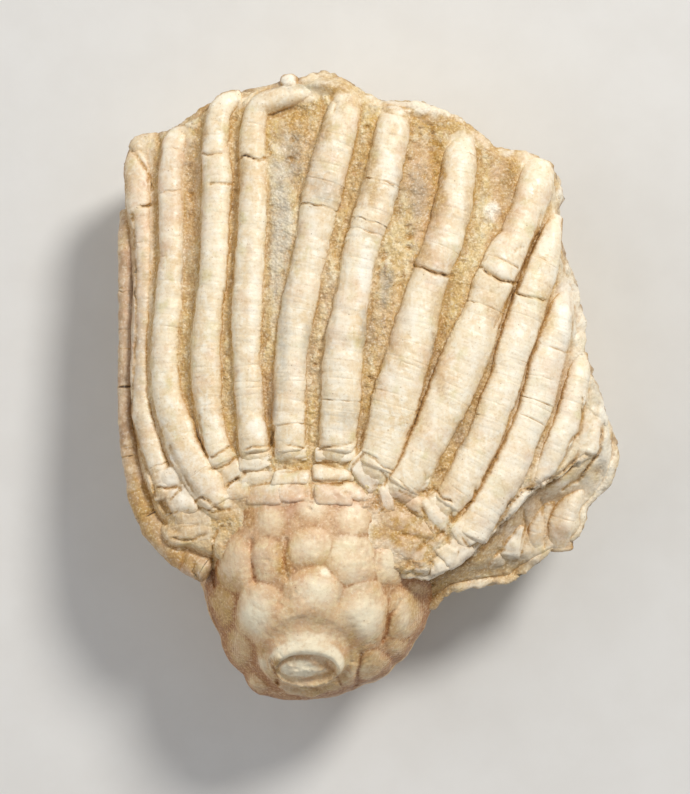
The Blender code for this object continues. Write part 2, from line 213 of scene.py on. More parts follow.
# Crevices: photo points along each, then half width in pixels, depth, and darkness. The darkness is the cracks' dark
# filling, but along the step down to the ledge it is painted shadow.
CREVICES = (
    ((199, 415), (201, 432), (203, 447), (208, 457), 1.6, 0.22, 1.2),
    ((212, 457), (220, 453), (228, 447), 1.2, 0.25, 1.6),
    ((210, 469), (217, 469), (230, 463), (234, 458), 1.3, 0.25, 1.8),
    ((227, 488), (229, 484), (238, 478), 1.4, 0.22, 1.6), ((233, 463), (239, 475), 1.3, 0.15, 0.8),
    ((241, 460), (244, 474), 1.6, 0.18, 0.9), ((246, 450), (252, 447), (262, 447), (271, 445), 1.3, 0.22, 1.4),
    ((240, 458), (246, 454), (262, 451), 1.5, 0.15, 0.7), ((274, 428), (272, 445), (273, 457), 1.5, 0.30, 1.9),
    ((271, 462), (275, 471), 1.3, 0.20, 1.4), ((245, 471), (256, 471), (269, 469), 1.1, 0.18, 1.2),
    ((249, 495), (249, 487), (256, 485), (271, 484), 1.1, 0.16, 1.1),
    ((280, 446), (290, 445), (304, 448), 1.1, 0.20, 1.3), ((286, 461), (300, 459), (307, 458), 1.2, 0.18, 1.1),
    ((278, 472), (290, 472), (302, 469), 1.3, 0.16, 0.9), ((287, 487), (303, 484), 1.2, 0.12, 0.7),
    ((320, 450), (326, 447), (340, 446), (351, 443), 1.3, 0.22, 1.4),
    ((319, 460), (330, 461), (346, 465), 1.3, 0.20, 1.2),
    ((314, 480), (321, 482), (338, 485), (350, 480), 1.8, 0.22, 1.3), ((311, 484), (312, 498), 1.4, 0.22, 1.3),
    ((300, 502), (312, 502), 1.2, 0.15, 1.1), ((308, 507), (312, 510), 1.6, 0.15, 0.8),
    ((364, 453), (355, 461), (352, 469), (350, 481), 1.3, 0.22, 1.4),
    ((364, 453), (376, 458), (384, 468), (393, 470), 1.2, 0.2, 1.4),
    ((380, 471), (387, 479), (384, 486), (372, 486), 1.2, 0.2, 1.2),
    ((344, 491), (358, 499), (367, 500), 1.0, 0.12, 1.0), ((377, 495), (376, 508), 1.3, 0.18, 1.3),
    ((380, 513), (385, 508), 1.2, 0.15, 1.0), ((399, 480), (408, 489), 1.1, 0.15, 1.1),
    ((399, 491), (413, 497), 1.1, 0.15, 1.2), ((394, 498), (402, 503), (410, 511), (417, 514), 1.6, 0.2, 1.1),
    ((418, 492), (431, 490), 1.2, 0.18, 1.2), ((425, 473), (426, 490), (428, 501), 1.2, 0.18, 0.9),
    ((432, 487), (438, 492), (443, 499), (451, 501), 1.2, 0.22, 1.5),
    ((423, 508), (427, 518), (434, 526), (441, 531), 1.6, 0.22, 1.2),
    ((441, 531), (447, 528), (451, 521), (452, 513), 1.5, 0.25, 1.5),
    ((476, 488), (474, 500), (460, 513), (452, 522), 1.8, 0.30, 1.7),
    ((402, 535), (424, 539), (434, 540), (442, 533), 2.2, 0.25, 0.9),
    ((430, 541), (418, 550), (412, 559), (408, 566), 2.6, 0.30, 0.9), ((443, 533), (449, 543), 1.6, 0.2, 1.0),
    ((455, 531), (464, 540), (471, 548), 1.2, 0.22, 1.3),
    ((453, 568), (463, 562), (475, 551), (483, 545), 2.0, 0.30, 1.6),
    ((458, 552), (456, 560), (449, 567), 1.1, 0.16, 1.1), ((431, 562), (435, 571), (433, 583), 1.6, 0.2, 1.4),
    ((131, 415), (134, 432), (141, 452), (149, 473), (156, 496), 1.7, 0.2, 1.3),
    ((133, 215), (135, 260), (136, 330), (133, 390), (131, 415), 1.6, 0.2, 1.3),
    ((124, 448), (131, 449), (138, 446), 1.2, 0.16, 1.1), ((130, 489), (138, 486), (146, 488), 1.1, 0.14, 1.0),
    ((158, 488), (170, 488), (184, 487), 1.2, 0.22, 1.2), ((169, 502), (175, 496), (181, 489), 1.2, 0.2, 1.2),
    ((169, 514), (177, 512), (188, 511), 1.3, 0.22, 1.6),
    ((170, 446), (173, 456), (183, 473), (192, 490), (197, 497), 2.0, 0.3, 1.0),
    ((195, 501), (203, 496), (211, 502), (219, 510), (229, 509), 1.5, 0.28, 1.8),
    ((199, 508), (208, 510), (214, 513), (222, 510), 1.2, 0.2, 1.5),
    ((180, 527), (190, 527), (202, 524), 1.1, 0.15, 1.0),
    ((174, 538), (184, 541), (197, 538), (206, 534), 1.3, 0.22, 1.5),
    ((161, 503), (168, 511), (165, 520), (168, 528), (178, 531), 2.2, 0.3, 1.4),
    ((160, 538), (170, 545), (180, 551), 1.6, 0.25, 1.0), ((183, 550), (184, 560), (180, 567), 1.6, 0.3, 1.5),
    ((194, 563), (193, 573), (199, 582), 1.8, 0.3, 1.5),
    ((222, 526), (214, 538), (212, 560), (215, 586), 1.5, 0.30, 1.1),
    ((415, 265), (425, 268), (437, 274), (454, 276), 1.3, 0.45, 2.0),
    ((480, 267), (490, 274), (503, 281), (517, 283), 1.5, 0.50, 2.0),
    ((484, 262), (489, 255), (499, 258), (518, 268), 1.1, 0.2, 1.1),
    ((523, 246), (516, 249), (513, 262), 1.1, 0.15, 0.8), ((517, 292), (525, 297), (545, 300), 1.2, 0.4, 1.7),
    ((518, 283), (517, 292), 1.2, 0.3, 1.5), ((535, 257), (548, 260), 1.1, 0.2, 1.1),
    ((541, 215), (534, 240), (526, 265), (519, 284), (508, 300), (494, 328), 2.2, 0.35, 0.8),
    ((540, 342), (552, 348), (571, 353), 1.1, 0.16, 1.1), ((571, 350), (572, 320), (571, 290), 1.6, 0.25, 0.6),
    ((583, 398), (582, 428), (569, 444), (561, 470), 1.4, 0.28, 1.2),
    # The step down to the ledge: the darkness of these three is painted shadow under the arms' edge.
    ((603, 425), (600, 450), (590, 466), (578, 479), (563, 489), 1.8, 0.35, 1.5),
    ((578, 452), (573, 462), (561, 473), (548, 480), (536, 486), (523, 491), 2.2, 0.40, 1.7),
    ((523, 491), (512, 500), (500, 522), (487, 541), (476, 549), 2.2, 0.40, 1.6),
    ((524, 510), (526, 527), (520, 548), 1.5, 0.3, 1.4), ((541, 500), (544, 520), (545, 547), 1.4, 0.2, 0.7),
    ((497, 556), (499, 550), (522, 552), 1.4, 0.2, 1.2), ((252, 540), (251, 560), (256, 582), 2.0, 0.18, 0.5),
    ((286, 540), (284, 558), (287, 580), 2.2, 0.2, 0.6), ((270, 660), (274, 670), (278, 684), 3.0, 0.45, 1.0),
    ((258, 676), (275, 690), (300, 697), 1.5, 0.15, 0.6), ((282, 678), (300, 685), (322, 690), 1.5, 0.15, 0.6),
    ((326, 664), (334, 672), (341, 684), 2.4, 0.25, 1.0), ((383, 640), (390, 618), (401, 602), 2.4, 0.30, 0.5),
    ((362, 655), (358, 668), (357, 684), 2.0, 0.3, 0.8),
    ((132, 150), (140, 160), (150, 175), (153, 190), 1.6, 0.3, 1.2),
    ((380, 110), (400, 115), (425, 118), (442, 120), 1.6, 0.2, 0.7),
    ((158, 132), (161, 150), (158, 170), 2.0, 0.3, 1.0), ((331, 96), (336, 104), (333, 112), 1.6, 0.25, 0.9),
    ((200, 152), (208, 156), (222, 152), 1.1, 0.2, 1.3),
    ((238, 160), (245, 155), (252, 158), (258, 160), (266, 157), 1.2, 0.3, 1.7),
    ((211, 183), (221, 183), (233, 184), 1.2, 0.35, 1.8), ((141, 206), (150, 205), (157, 204), 1.2, 0.3, 1.5),
)
# Swellings and dips: photo middle, half sizes, degrees turned to the left, height.
SWELLS = (
    (262, 664, 9, 12, 0, 0.30), (351, 673, 8, 24, -10, 0.45), (300, 690, 40, 7, 0, -0.12),
    (505, 270, 20, 12, -25, 0.18), (250, 684, 16, 8, -40, 0.25), (571, 320, 12, 34, 0, 0.30),
    (555, 238, 9, 26, 0, 0.25), (578, 300, 8, 44, 0, -0.3), (574, 512, 14, 38, -20, 0.35),
    (607, 460, 9, 34, 8, 0.45), (570, 528, 20, 12, 0, 0.3), (592, 484, 12, 26, -40, 0.3),
    (515, 568, 62, 15, 14, -0.60), (560, 372, 7, 24, 0, -0.3), (320, 84, 34, 8, 0, 0.2),
    (410, 104, 34, 8, -8, 0.2),
)
# Places where the crust is smooth worn fossil rather than grains: photo middle and half sizes.
CALM = (
    (394, 530, 32, 24), (188, 548, 40, 28), (150, 505, 26, 44), (285, 495, 80, 26), (590, 460, 34, 50),
    (570, 300, 16, 90), (590, 380, 20, 60), (550, 200, 20, 50), (560, 520, 40, 40), (500, 560, 60, 40),
    (300, 84, 60, 12), (225, 97, 30, 12), (140, 145, 16, 22), (590, 480, 40, 50),
)


# ---- noise ----

draw = np.random.RandomState(11)
SHUFFLED = np.tile(draw.permutation(256), 3)
SLOPES = draw.normal(size=(256, 3))
SLOPES /= np.linalg.norm(SLOPES, axis=1)[:, None]
CELL_POINTS = draw.uniform(size=(256, 3))
CELL_VALUES = draw.uniform(-1, 1, size=(256, 4))
CORNERS = [(a, b, c) for a in (0, 1) for b in (0, 1) for c in (0, 1)]
AROUND = [(a, b, c) for a in (-1, 0, 1) for b in (-1, 0, 1) for c in (-1, 0, 1)]


def shuffled(cell):
    a = SHUFFLED[cell[:, 0] & 255]
    b = SHUFFLED[a + (cell[:, 1] & 255)]
    return SHUFFLED[b + (cell[:, 2] & 255)]


def wave(points, size, seed=0):
    """Smooth noise from about -1 to 1, with lumps of the given size in millimetres."""
    places = points / size + 19.19 * seed
    cell = np.floor(places).astype(int)
    part = places - cell
    fade = part**3 * (part * (part * 6 - 15) + 10)
    total = np.zeros(len(points))
    for corner in CORNERS:
        slope = SLOPES[shuffled(cell + corner)]
        weight = np.prod(np.where(corner, fade, 1 - fade), axis=1)
        total += weight * ((part - corner) * slope).sum(1)
    return total * 1.7


def rough(points, size, octaves=3, keep=0.55, seed=0):
    """Waves of halving sizes, each lower by the share that is kept."""
    total, height = np.zeros(len(points)), 1.0
    for octave in range(octaves):
        total += height * wave(points, size / 2**octave, seed + octave)
        height *= keep
    return total


def cells(points, size, seed=0):
    """Distances to the nearest and second nearest cell point, and the nearest cell's number."""
    places = points / size + 7.7 * seed
    base = np.floor(places).astype(int)
    first = np.full(len(points), 9.0)
    second = np.full(len(points), 9.0)
    which = np.zeros(len(points), int)
    for step in AROUND:
        cell = base + step
        number = shuffled(cell)
        gap = np.linalg.norm(places - cell - CELL_POINTS[number], axis=1)
        closer = gap < first
        second = np.where(closer, first, np.minimum(second, gap))
        which = np.where(closer, number, which)
        first = np.where(closer, gap, first)
    return first, second, which


def ease(low, high, value):
    """A smooth step from 0 at low to 1 at high."""
    t = np.clip((value - low) / (high - low), 0, 1)
    return t * t * (3 - 2 * t)


def unit(vectors):
    return vectors / np.maximum(np.linalg.norm(vectors, axis=-1, keepdims=True), 1e-9)


# ---- places ----

def round_height(x, y, centre, radii):
    """The height of an ellipsoid's top at each place, and whether the place is over it."""
    across = ((x - centre[0]) / radii[0]) ** 2 + ((y - centre[1]) / radii[1]) ** 2
    return centre[2] + radii[2] * np.sqrt(np.maximum(0.0, 1 - across)), across < 1


def face_height(x, y):
    return round_height(x, y, FACE_CENTRE, FACE_RADII)[0]


def cup_height(x, y):
    height, over = round_height(x, y, CUP_CENTRE, CUP_RADII)
    return np.where(over, height, 0.0)


def stone_height(x, y):
    return np.maximum(face_height(x, y), cup_height(x, y))


def crust_base(x, y):
    """The crown's face, run softly into the cup, which stays a little above it."""
    cup = cup_height(x, y) - 0.35
    return smooth_max(face_height(x, y), cup, 0.8) + 0.05


def ledge_height(x, y):
    return LEDGE_TOP + LEDGE_SLOPE[0] * (x - LEDGE_PIVOT[0]) + LEDGE_SLOPE[1] * (y - LEDGE_PIVOT[1])


def under_pixel(px, py, height):
    """The place under a photo point, at a height over the ground."""
    far = (EYE[2] - height) / (EYE[2] - FOCUS_HEIGHT)
    x = EYE[0] + (px - PICTURE[0] / 2) * PIXEL * far
    y = EYE[1] - (py - PICTURE[1] / 2) * PIXEL * far
    return x, y


def on_surface(px, py, surface, lift=0.0):
    """The place on a surface that shows at a photo point."""
    z = FOCUS_HEIGHT
    for _ in range(4):
        x, y = under_pixel(px, py, z)
        z = float(surface(x, y)) + lift
    return np.array((x, y, z))


def in_picture(points):
    """The photo places of points."""
    far = (EYE[2] - points[:, 2]) / (EYE[2] - FOCUS_HEIGHT)
    px = PICTURE[0] / 2 + (points[:, 0] - EYE[0]) / (PIXEL * far)
    py = PICTURE[1] / 2 - (points[:, 1] - EYE[1]) / (PIXEL * far)
    return px, py


def spot_reach(px, py, x, y, rx, ry):
    """How far photo places are from a spot's middle, as a share of its half sizes."""
    return np.hypot((px - x) / rx, (py - y) / ry)


def line_distance(x, y, route):
    """The distance of places to a broken line."""
    closest = np.full(x.shape, 1e9)
    for (x0, y0), (x1, y1) in zip(route, route[1:]):
        dx, dy = x1 - x0, y1 - y0
        t = np.clip(((x - x0) * dx + (y - y0) * dy) / (dx * dx + dy * dy), 0, 1)
        closest = np.minimum(closest, np.hypot(x - x0 - t * dx, y - y0 - t * dy))
    return closest


def edge_distance(x, y, outline):
    """How far places are inside an outline: negative outside it."""
    x, y = np.ravel(x), np.ravel(y)
    closed = (*outline, outline[0])
    inside = np.zeros(x.shape, bool)
    for (x0, y0), (x1, y1) in zip(closed, closed[1:]):
        if y1 != y0:
            inside ^= ((y0 > y) != (y1 > y)) & (x < (x1 - x0) * (y - y0) / (y1 - y0) + x0)
    closest = line_distance(x, y, closed)
    return np.where(inside, closest, -closest)


def surface_normal(x, y, surface):
    step = 0.2
    fall_x = (surface(x + step, y) - surface(x - step, y)) / (2 * step)
    fall_y = (surface(x, y + step) - surface(x, y - step)) / (2 * step)
    return unit(np.stack([-fall_x, -fall_y, np.ones_like(fall_x)], -1))


def spline(knots, step):
    """Points about a step apart on a Catmull-Rom curve through the knots, which may have any columns."""
    ends = np.vstack([2 * knots[0] - knots[1], knots, 2 * knots[-1] - knots[-2]])
    line = []
    for a, b, c, d in zip(ends, ends[1:], ends[2:], ends[3:]):
        pieces = max(1, round(float(np.linalg.norm((c - b)[:3])) / step))
        t = (np.arange(pieces) / pieces)[:, None]
        line.append(b + 0.5 * ((c - a) * t + (2 * a - 5 * b + 4 * c - d) * t**2 + (-a + 3 * b - 3 * c + d) * t**3))
    return np.vstack([*line, knots[-1:]])


# ---- shapes ----

class Shape:
    """Points in millimetres, faces between them, and marks: a number at each point for its colour."""

    def __init__(self, points, faces, **marks):
        self.points = np.asarray(points, float)
        self.faces = [list(f) for f in faces]
        self.marks = {k: np.asarray(v, float) for k, v in marks.items()}
        self.edge_on = False


def join(shapes):
    """One shape made of several."""
    points, faces, marks, count = [], [], {}, 0
    names = sorted({k for s in shapes for k in s.marks})
    for s in shapes:
        points.append(s.points)
        faces += [[i + count for i in f] for f in s.faces]
        count += len(s.points)
    for k in names:
        marks[k] = np.concatenate([s.marks.get(k, np.zeros(len(s.points))) for s in shapes])
    return Shape(np.vstack(points), faces, **marks)


def taken(work):
    """The points and faces of a bmesh, which is then freed."""
    work.verts.index_update()
    points = np.array([v.co for v in work.verts])
    faces = [[v.index for v in f.verts] for f in work.faces]
    work.free()
    return points, faces


def tube_faces(rings, around):
    """Faces of a tube whose last two points are its end poles."""
    i = np.arange(rings - 1)[:, None] * around
    j = np.arange(around)[None, :]
    k = (j + 1) % around
    sides = np.stack([i + j, i + around + j, i + around + k, i + k], -1).reshape(-1, 4).tolist()
    last = (rings - 1) * around
    start, end = rings * around, rings * around + 1
    for a in range(around):
        b = (a + 1) % around
        sides += [[start, a, b], [end, last + b, last + a]]
    return sides


# An arm's rings: their points' angles, close together on top, and the ends' reach and share of the width.
ANGLES = np.radians(np.concatenate([np.linspace(-18, 198, 25), np.linspace(217, 323, 6)]))
END_RINGS = ((0.10, 0.975), (0.20, 0.90), (0.27, 0.74), (0.31, 0.5), (0.33, 0.25))
arm_lines = {}


def arm_height(wide):
    """How far an arm's top stands over its middle line."""
    return np.minimum(1.45, 0.45 + 0.56 * wide)


def make_arm(name, depth, route, cracks, seed):
    """One arm: rings along its line, two to four to a segment, with sutures and cracks cut in."""
    random = np.random.RandomState(seed)
    surface = ledge_arm_surface if name.startswith("ledge") else face_height
    lift = 0.0 if name.startswith("ledge") else -depth
    knots = np.array([(*on_surface(x, y, surface, lift), w * PIXEL / 2 * ARM_WIDTH) for x, y, w in route])
    line = spline(knots, 0.05)
    line[:, 2] += 0.10 * wave(line[:, :3], 3.1, 3)
    line[:, 0] += 0.05 * wave(line[:, :3], 1.5, seed)
    along = np.concatenate([[0], np.cumsum(np.linalg.norm(np.diff(line[:, :3], axis=0), axis=1))])
    length = along[-1]
    line[:, 2] -= TIP_SINK * np.exp(-(((length - along) / TIP_REACH) ** 2))
    if name.startswith("ledge"):
        line[:, 2] -= TIP_SINK * np.exp(-((along / TIP_REACH) ** 2))
    arm_lines[name] = line
    ways = unit(np.gradient(line[:, :3], axis=0))
    ups = surface_normal(line[:, 0], line[:, 1], face_height)
    ups = unit(ups - (ups * ways).sum(1)[:, None] * ways)

    rows = in_picture(line[:, :3])[1]
    breaks = [(along[np.argmin(np.abs(rows - y))], strength) for y, strength in cracks]
    edges, place = [], 0.15
    pitch, boldness, open_half = EDGE_SUTURES if name.startswith("arm_edge") else FACE_SUTURES
    while place < length - 0.1:
        if all(abs(place - b) > 0.24 for b, _ in breaks):
            faint = boldness * (random.uniform(0.2, 1.0) + (random.uniform() < 0.10) * 2.5)
            edges.append((place, SUTURE_DEPTH * min(faint, 3.0), open_half, faint * 0.22))
        place += pitch * random.uniform(0.6, 1.45)
    edges += [(b, CRACK_DEPTH * s, CRACK_HALF * (0.6 + 0.5 * s), 1.0 + s) for b, s in breaks]
    edges.sort()
    # Each ring: place, cut, swell, lean, darkness, shrink, and the crack or suture that it belongs to.
    rings = [(-reach, 0, 0, 0, 0, shrink, 0) for reach, shrink in reversed(END_RINGS)] + [(0, 0, 0, 0, 0, 1, 0)]
    before, lean_before = 0.0, 0.0
    for number, (place, cut, half, dark) in enumerate(edges):
        lean = (-1) ** number * random.uniform(0.0, 0.06) + random.uniform(-0.04, 0.04)
        middles = max(1, round((place - before) / 0.3))
        for m in range(1, middles + 1):
            t = m / (middles + 1)
            rings.append((before + (place - before) * t, 0, 1, lean_before + (lean - lean_before) * t, 0, 1, 0))
        jag = (number + 1) if cut > 0.15 else 0
        rings += [(place - half, 0, 0.6, lean, 0.25 * dark, 1, jag), (place, cut, 0, lean, dark, 1, jag)]
        rings.append((place + half, 0, 0.6, lean, 0.25 * dark, 1, jag))
        before, lean_before = place, lean
    rings += [(length, 0, 0, 0, 0, 1, 0)] + [(length + reach, 0, 0, 0, 0, shrink, 0) for reach, shrink in END_RINGS]
    s, cut, swell, lean, dark, shrink, jag = np.array(rings).T

    inside = np.clip(s, 0, length)

    def at(values):
        return np.stack([np.interp(inside, along, v) for v in values.T], -1)

    middle, way, up = at(line[:, :3]), unit(at(ways)), unit(at(ups))
    middle = middle + (s - inside)[:, None] * way
    side = np.cross(way, up)
    wide = np.interp(inside, along, line[:, 3])
    stepped = np.repeat(random.uniform(-1, 1, len(s) // 4 + 1), 4)[: len(s)]
    wide = wide * (1 + 0.05 * wave(middle, 2.3, 5) + 0.04 * wave(middle, 0.9, 6) + 0.008 * stepped)
    high = arm_height(wide)
    turns = np.stack(np.broadcast_arrays(ANGLES[None, :] * 0.9, jag[:, None] * 7.7, seed * 3.1), -1)
    zigzag = (wave(turns.reshape(-1, 3), 0.42, 1) * 0.16).reshape(turns.shape[:2]) * (jag > 0)[:, None]
    cos, sin = np.cos(ANGLES)[None, :, None], np.sin(ANGLES)[None, :, None]
    boxy = np.sign(cos) * np.abs(cos) ** 0.9
    out = side[:, None] * boxy * wide[:, None, None] + up[:, None] * sin * high[:, None, None]
    points = middle[:, None] + out * shrink[:, None, None] + way[:, None] * cos * lean[:, None, None]
    points = points + way[:, None] * zigzag[:, :, None]
    normals = unit(side[:, None] * cos / wide[:, None, None] + up[:, None] * sin / high[:, None, None])
    ends = (1 - shrink)[:, None, None] * np.sign(s - length / 2)[:, None, None]
    normals = unit(normals + 2 * ends * way[:, None])
    points, normals = points.reshape(-1, 3), normals.reshape(-1, 3)
    around = len(ANGLES)
    height = np.tile(np.sin(ANGLES), len(s))
    patchy = np.clip(0.55 + 1.1 * wave(points, 1.1, seed), 0.05, 1.6)
    push = -np.repeat(cut, around) * np.where(np.repeat(cut, around) > 0.15, np.clip(patchy, 0.35, 1.2), patchy)
    push += 0.006 * np.repeat(swell, around)
    push += 0.05 * rough(points, 1.2, 3, 0.6, seed + 1) + 0.022 * wave(points, 0.26, seed)
    flank = ease(0.75, 0.0, height) * ease(-0.3, 0.5, wave(points, 2.6, seed + 7) + 0.2)
    push += flank * (0.09 * rough(points, 0.5, 3, 0.6, 9) + 0.05)
    chips = ease(0.42, 0.75, wave(points, 1.7, seed + 2))
    push -= 0.07 * chips * (1 + wave(points, 0.3, 4))
    push += np.repeat(1 - shrink, around) * 0.12 * rough(points, 0.6, 2, 0.5, seed)
    points = points + normals * push[:, None]
    poles = [middle[0], middle[-1]]
    return Shape(
        np.vstack([points, poles]),
        tube_faces(len(s), around),
        line=np.append(np.repeat(dark, around) * np.clip(patchy, 0.2, 1.4), (0, 0)),
        matrix=np.append(flank, (0, 0)),
    )


def ledge_arm_surface(x, y):
    return ledge_height(x, y) - LEDGE_ARM_DEPTH


def cube_directions(n):
    """Points and faces of a cube's surface, n squares to an edge, as directions from its middle."""
    work = bmesh.new()
    bmesh.ops.create_cube(work, size=2.0)
    bmesh.ops.subdivide_edges(work, edges=work.edges, cuts=n - 1, use_grid_fill=True)
    points, faces = taken(work)
    return unit(np.tan(points * math.pi / 4)), faces


BLOCK_SIDE = 14
BLOCK_WIDER, BLOCK_LONGER = 1.18, 1.22  # how much larger a plate is than its seen top
BLOCK_HEIGHT, BLOCK_SUNK = 1.1, 0.92  # half its height, and the share of that from its middle to the stone
SQUARE, ROUND = 12.0, 2.4  # how square a plate is; one as wide as it is long is a round grain
block_places = []
block_points, block_faces = cube_directions(BLOCK_SIDE)


def make_block(px, py, width, length, turn, proud, pale, surface, seed):
    """One plate: a rounded block that lies on the stone, turned in its plane."""
    place = on_surface(px, py, surface)
    normal = surface_normal(place[0], place[1], surface)
    angle = math.radians(turn)
    along = np.array((-math.sin(angle), math.cos(angle), 0.0))
    along = unit(along - (along @ normal) * normal)
    side = np.cross(along, normal)
    square = ROUND if width == length else SQUARE
    solid = block_points / (np.abs(block_points) ** square).sum(1)[:, None] ** (1 / square)
    half = np.array((width * PIXEL / 2 * BLOCK_WIDER, length * PIXEL / 2 * BLOCK_LONGER, BLOCK_HEIGHT))
    block_places.append((place, side, along, half, proud))
    # The top bulges a little more than the sides.
    local = solid * half
    crown = 1 - 0.14 * ((local[:, 0] / half[0]) ** 2 + (local[:, 1] / half[1]) ** 2) * (solid[:, 2] > 0)
    local[:, 2] *= crown
    skew = 0.30 * wave(np.full((1, 3), float(seed)), 1.3, 2)[0]
    local[:, 0] += skew * local[:, 1]
    points = place + local[:, :1] * side + local[:, 1:2] * along + local[:, 2:] * normal
    points = points + normal * (proud - BLOCK_HEIGHT * BLOCK_SUNK)
    out = unit(solid[:, :1] * side + solid[:, 1:2] * along + solid[:, 2:] * normal)
    push = 0.15 * rough(points, 1.6, 3, 0.55, seed % 7) + 0.02 * wave(points, 0.25, 1)
    rim = np.abs(solid[:, :2]).max(1)
    return Shape(
        points + out * push[:, None],
        block_faces,
        white=0.6 * pale * ease(1.0, 0.7, rim),
    )


# ---- the cup ----

def scar_middle():
    """Where the scar's axis leaves the cup's round form."""
    stretched = CUP_RADII**2 * SCAR_AXIS
    return CUP_CENTRE + stretched / math.sqrt(stretched @ SCAR_AXIS)


def turned(vector, axis, angle):
    """A vector turned about an axis (Rodrigues)."""
    return (
        vector * math.cos(angle)
        + np.cross(axis, vector) * math.sin(angle)
        + axis * (axis @ vector) * (1 - math.cos(angle))
    )


def cup_rise(directions, points):
    """How far the plates bulge out of the cup's round form, how near a seam is, and how pale the plate."""
    px, py = in_picture(points)
    upper = ease(-0.12, 0.06, directions[:, 2])
    best = np.full(len(points), CUP_VALLEY)
    second = np.full(len(points), CUP_VALLEY)
    pale = np.zeros(len(points))

    def rival(rise, plate_pale):
        nonlocal best, second, pale
        pale = np.where(rise > best, plate_pale, pale)
        second = np.maximum(second, np.minimum(best, rise))
        best = smooth_max(best, rise, 0.08)

    for x, y, rx, ry, rise, plate_pale in CUP_PLATES:
        reach = spot_reach(px, py, x, y, rx, ry) * (1 + 0.14 * wave(points, 1.8, 40))
        rival((rise - CUP_VALLEY) * (1 - reach**2) * upper + CUP_VALLEY, plate_pale * ease(0.85, 0.2, reach))
    pole = unit((scar_middle() - CUP_CENTRE) / CUP_RADII)
    for from_axis, count, first in PLATE_RINGS:
        tilted = turned(pole, np.array((1.0, 0.0, 0.0)), -math.radians(from_axis))
        for i in range(count):
            spot = turned(tilted, pole, math.radians(first) + 2 * math.pi * i / count)
            away = np.arccos(np.clip(directions @ spot, -1, 1))
            rise = RING_PLATE_RISE * (1 - (away / RING_PLATE_SIZE) ** 2) * (1 - upper) + CUP_VALLEY
            rival(rise, RING_PLATE_PALE)
    seam = 0.6 * ease(0.10, 0.0, best - second) + 0.7 * ease(0.16, -0.12, best)
    return best, seam, pale


def scar_shape(flat):
    """The height over the scar's plane of the nested rings, by where their surface shows in the picture."""
    px, py = in_picture(flat + 0.4 * SCAR_AXIS)
    reach = [spot_reach(px, py, *ring[:4]) for ring in SCAR_RINGS]
    heights = [SCAR_BOSS] + [ring[4] for ring in SCAR_RINGS]
    height = np.interp(reach[0], (0, 1), heights[:2])
    for inner, outer, low, high in zip(reach, reach[1:], heights[1:], heights[2:]):
        t = np.clip((inner - 1) / np.maximum(inner - outer, 1e-6), 0, 1)
        height = np.where(inner > 1, low + (high - low) * t * t * (3 - 2 * t), height)
    return height, reach


def make_cup():
    """The cup: a round form with bulging plates, and the stem scar's rings cut into it."""
    directions, faces = cube_directions(CUP_SIDE)
    directions = unit(directions + 0.45 * unit(np.array((0.0, -0.55, 1.0))))
    points = CUP_CENTRE + directions * CUP_RADII
    rise, seam, pale = cup_rise(directions, points)
    for turn, tilt, spread, push in CUP_BULGES:
        turn, tilt = math.radians(turn), math.radians(tilt)
        spot = np.array((math.cos(turn) * math.cos(tilt), math.sin(turn) * math.cos(tilt), math.sin(tilt)))
        away = np.degrees(np.arccos(np.clip(directions @ spot, -1, 1)))
        rise = rise + push * np.exp(-((away / spread) ** 2))
    points = CUP_CENTRE + directions * (CUP_RADII + rise[:, None])
    scar, axis = scar_middle(), SCAR_AXIS
    over = (points - scar) @ axis
    flat = points - over[:, None] * axis
    distance = np.linalg.norm(flat - scar, axis=1)
    height, reach = scar_shape(flat)
    between = (reach[-2] - 1) / np.maximum(reach[-2] - reach[-1], 1e-6)
    blend = np.where(reach[-2] < 1, 1.0, ease(1.0, 0.0, between)) * (over > -SCAR_DEPTH) * (distance < SCAR_REACH)
    points = points + ((height - over) * blend)[:, None] * axis
    normals = unit(directions / CUP_RADII)
    push = 0.07 * rough(points, 1.6, 3, 0.5, 3) + 0.018 * wave(points, 0.3, 5)
    pits = ease(0.36, 0.6, wave(points, 0.8, 8)) * ease(0.1, 0.5, wave(points, 4.0, 2))
    push -= 0.07 * pits
    inner = ease(1.1, 0.7, reach[1]) * blend
    worn = ease(WORN_FROM, WORN_TO, in_picture(points)[1]) * blend
    push += inner * 0.13 * rough(points * (1, 2.2, 1), 0.9, 3, 0.6, 4)
    push += worn * (0.16 * rough(points * (1, 2.0, 1), 1.3, 3, 0.6, 7) - 0.12)
    points = points + normals * push[:, None]
    # Painted light on the scar: a highlight on the ring's crest, and shade in the crescent under its inner ledge.
    ring_highlight = ease(-0.15, 0.2, height) * ease(0.97, 1.05, reach[1]) * (1 - worn) * blend
    ledge_shade = ease(0.95, 1.0, reach[0]) * ease(1.12, 1.0, reach[1]) * ease(672, 660, in_picture(points)[1]) * blend
    return Shape(
        points,
        faces,
        line=np.maximum(seam * (1 - blend), 0.6 * ledge_shade),
        # Sides that turn away from the top are painted rust-brown: a real brown stain, and painted shade where they
        # face away from the light.
        rust=0.6 * ease(0.35, -0.1, normals[:, 2]) * ease(-0.3, 0.5, wave(points, 3.0, 40)),
        bare=np.maximum(0.7 * blend, 0.55 * ease(0.45, 0.05, normals[:, 2])),
        white=np.maximum(1.15 * pale * (1 - blend), np.maximum(1.1 * ring_highlight, 1.1 * ease(1.05, 0.8, reach[0]) * blend)),
    )


# ---- the matrix ----

def piece_object(name, data):
    made = bpy.data.objects.new(name, data)
    bpy.context.scene.collection.objects.link(made)
    return made


def object_from(work, name):
    """An object made from a bmesh, which is then freed."""
    mesh = bpy.data.meshes.new(name)
    work.to_mesh(mesh)
    work.free()
    return piece_object(name, mesh)


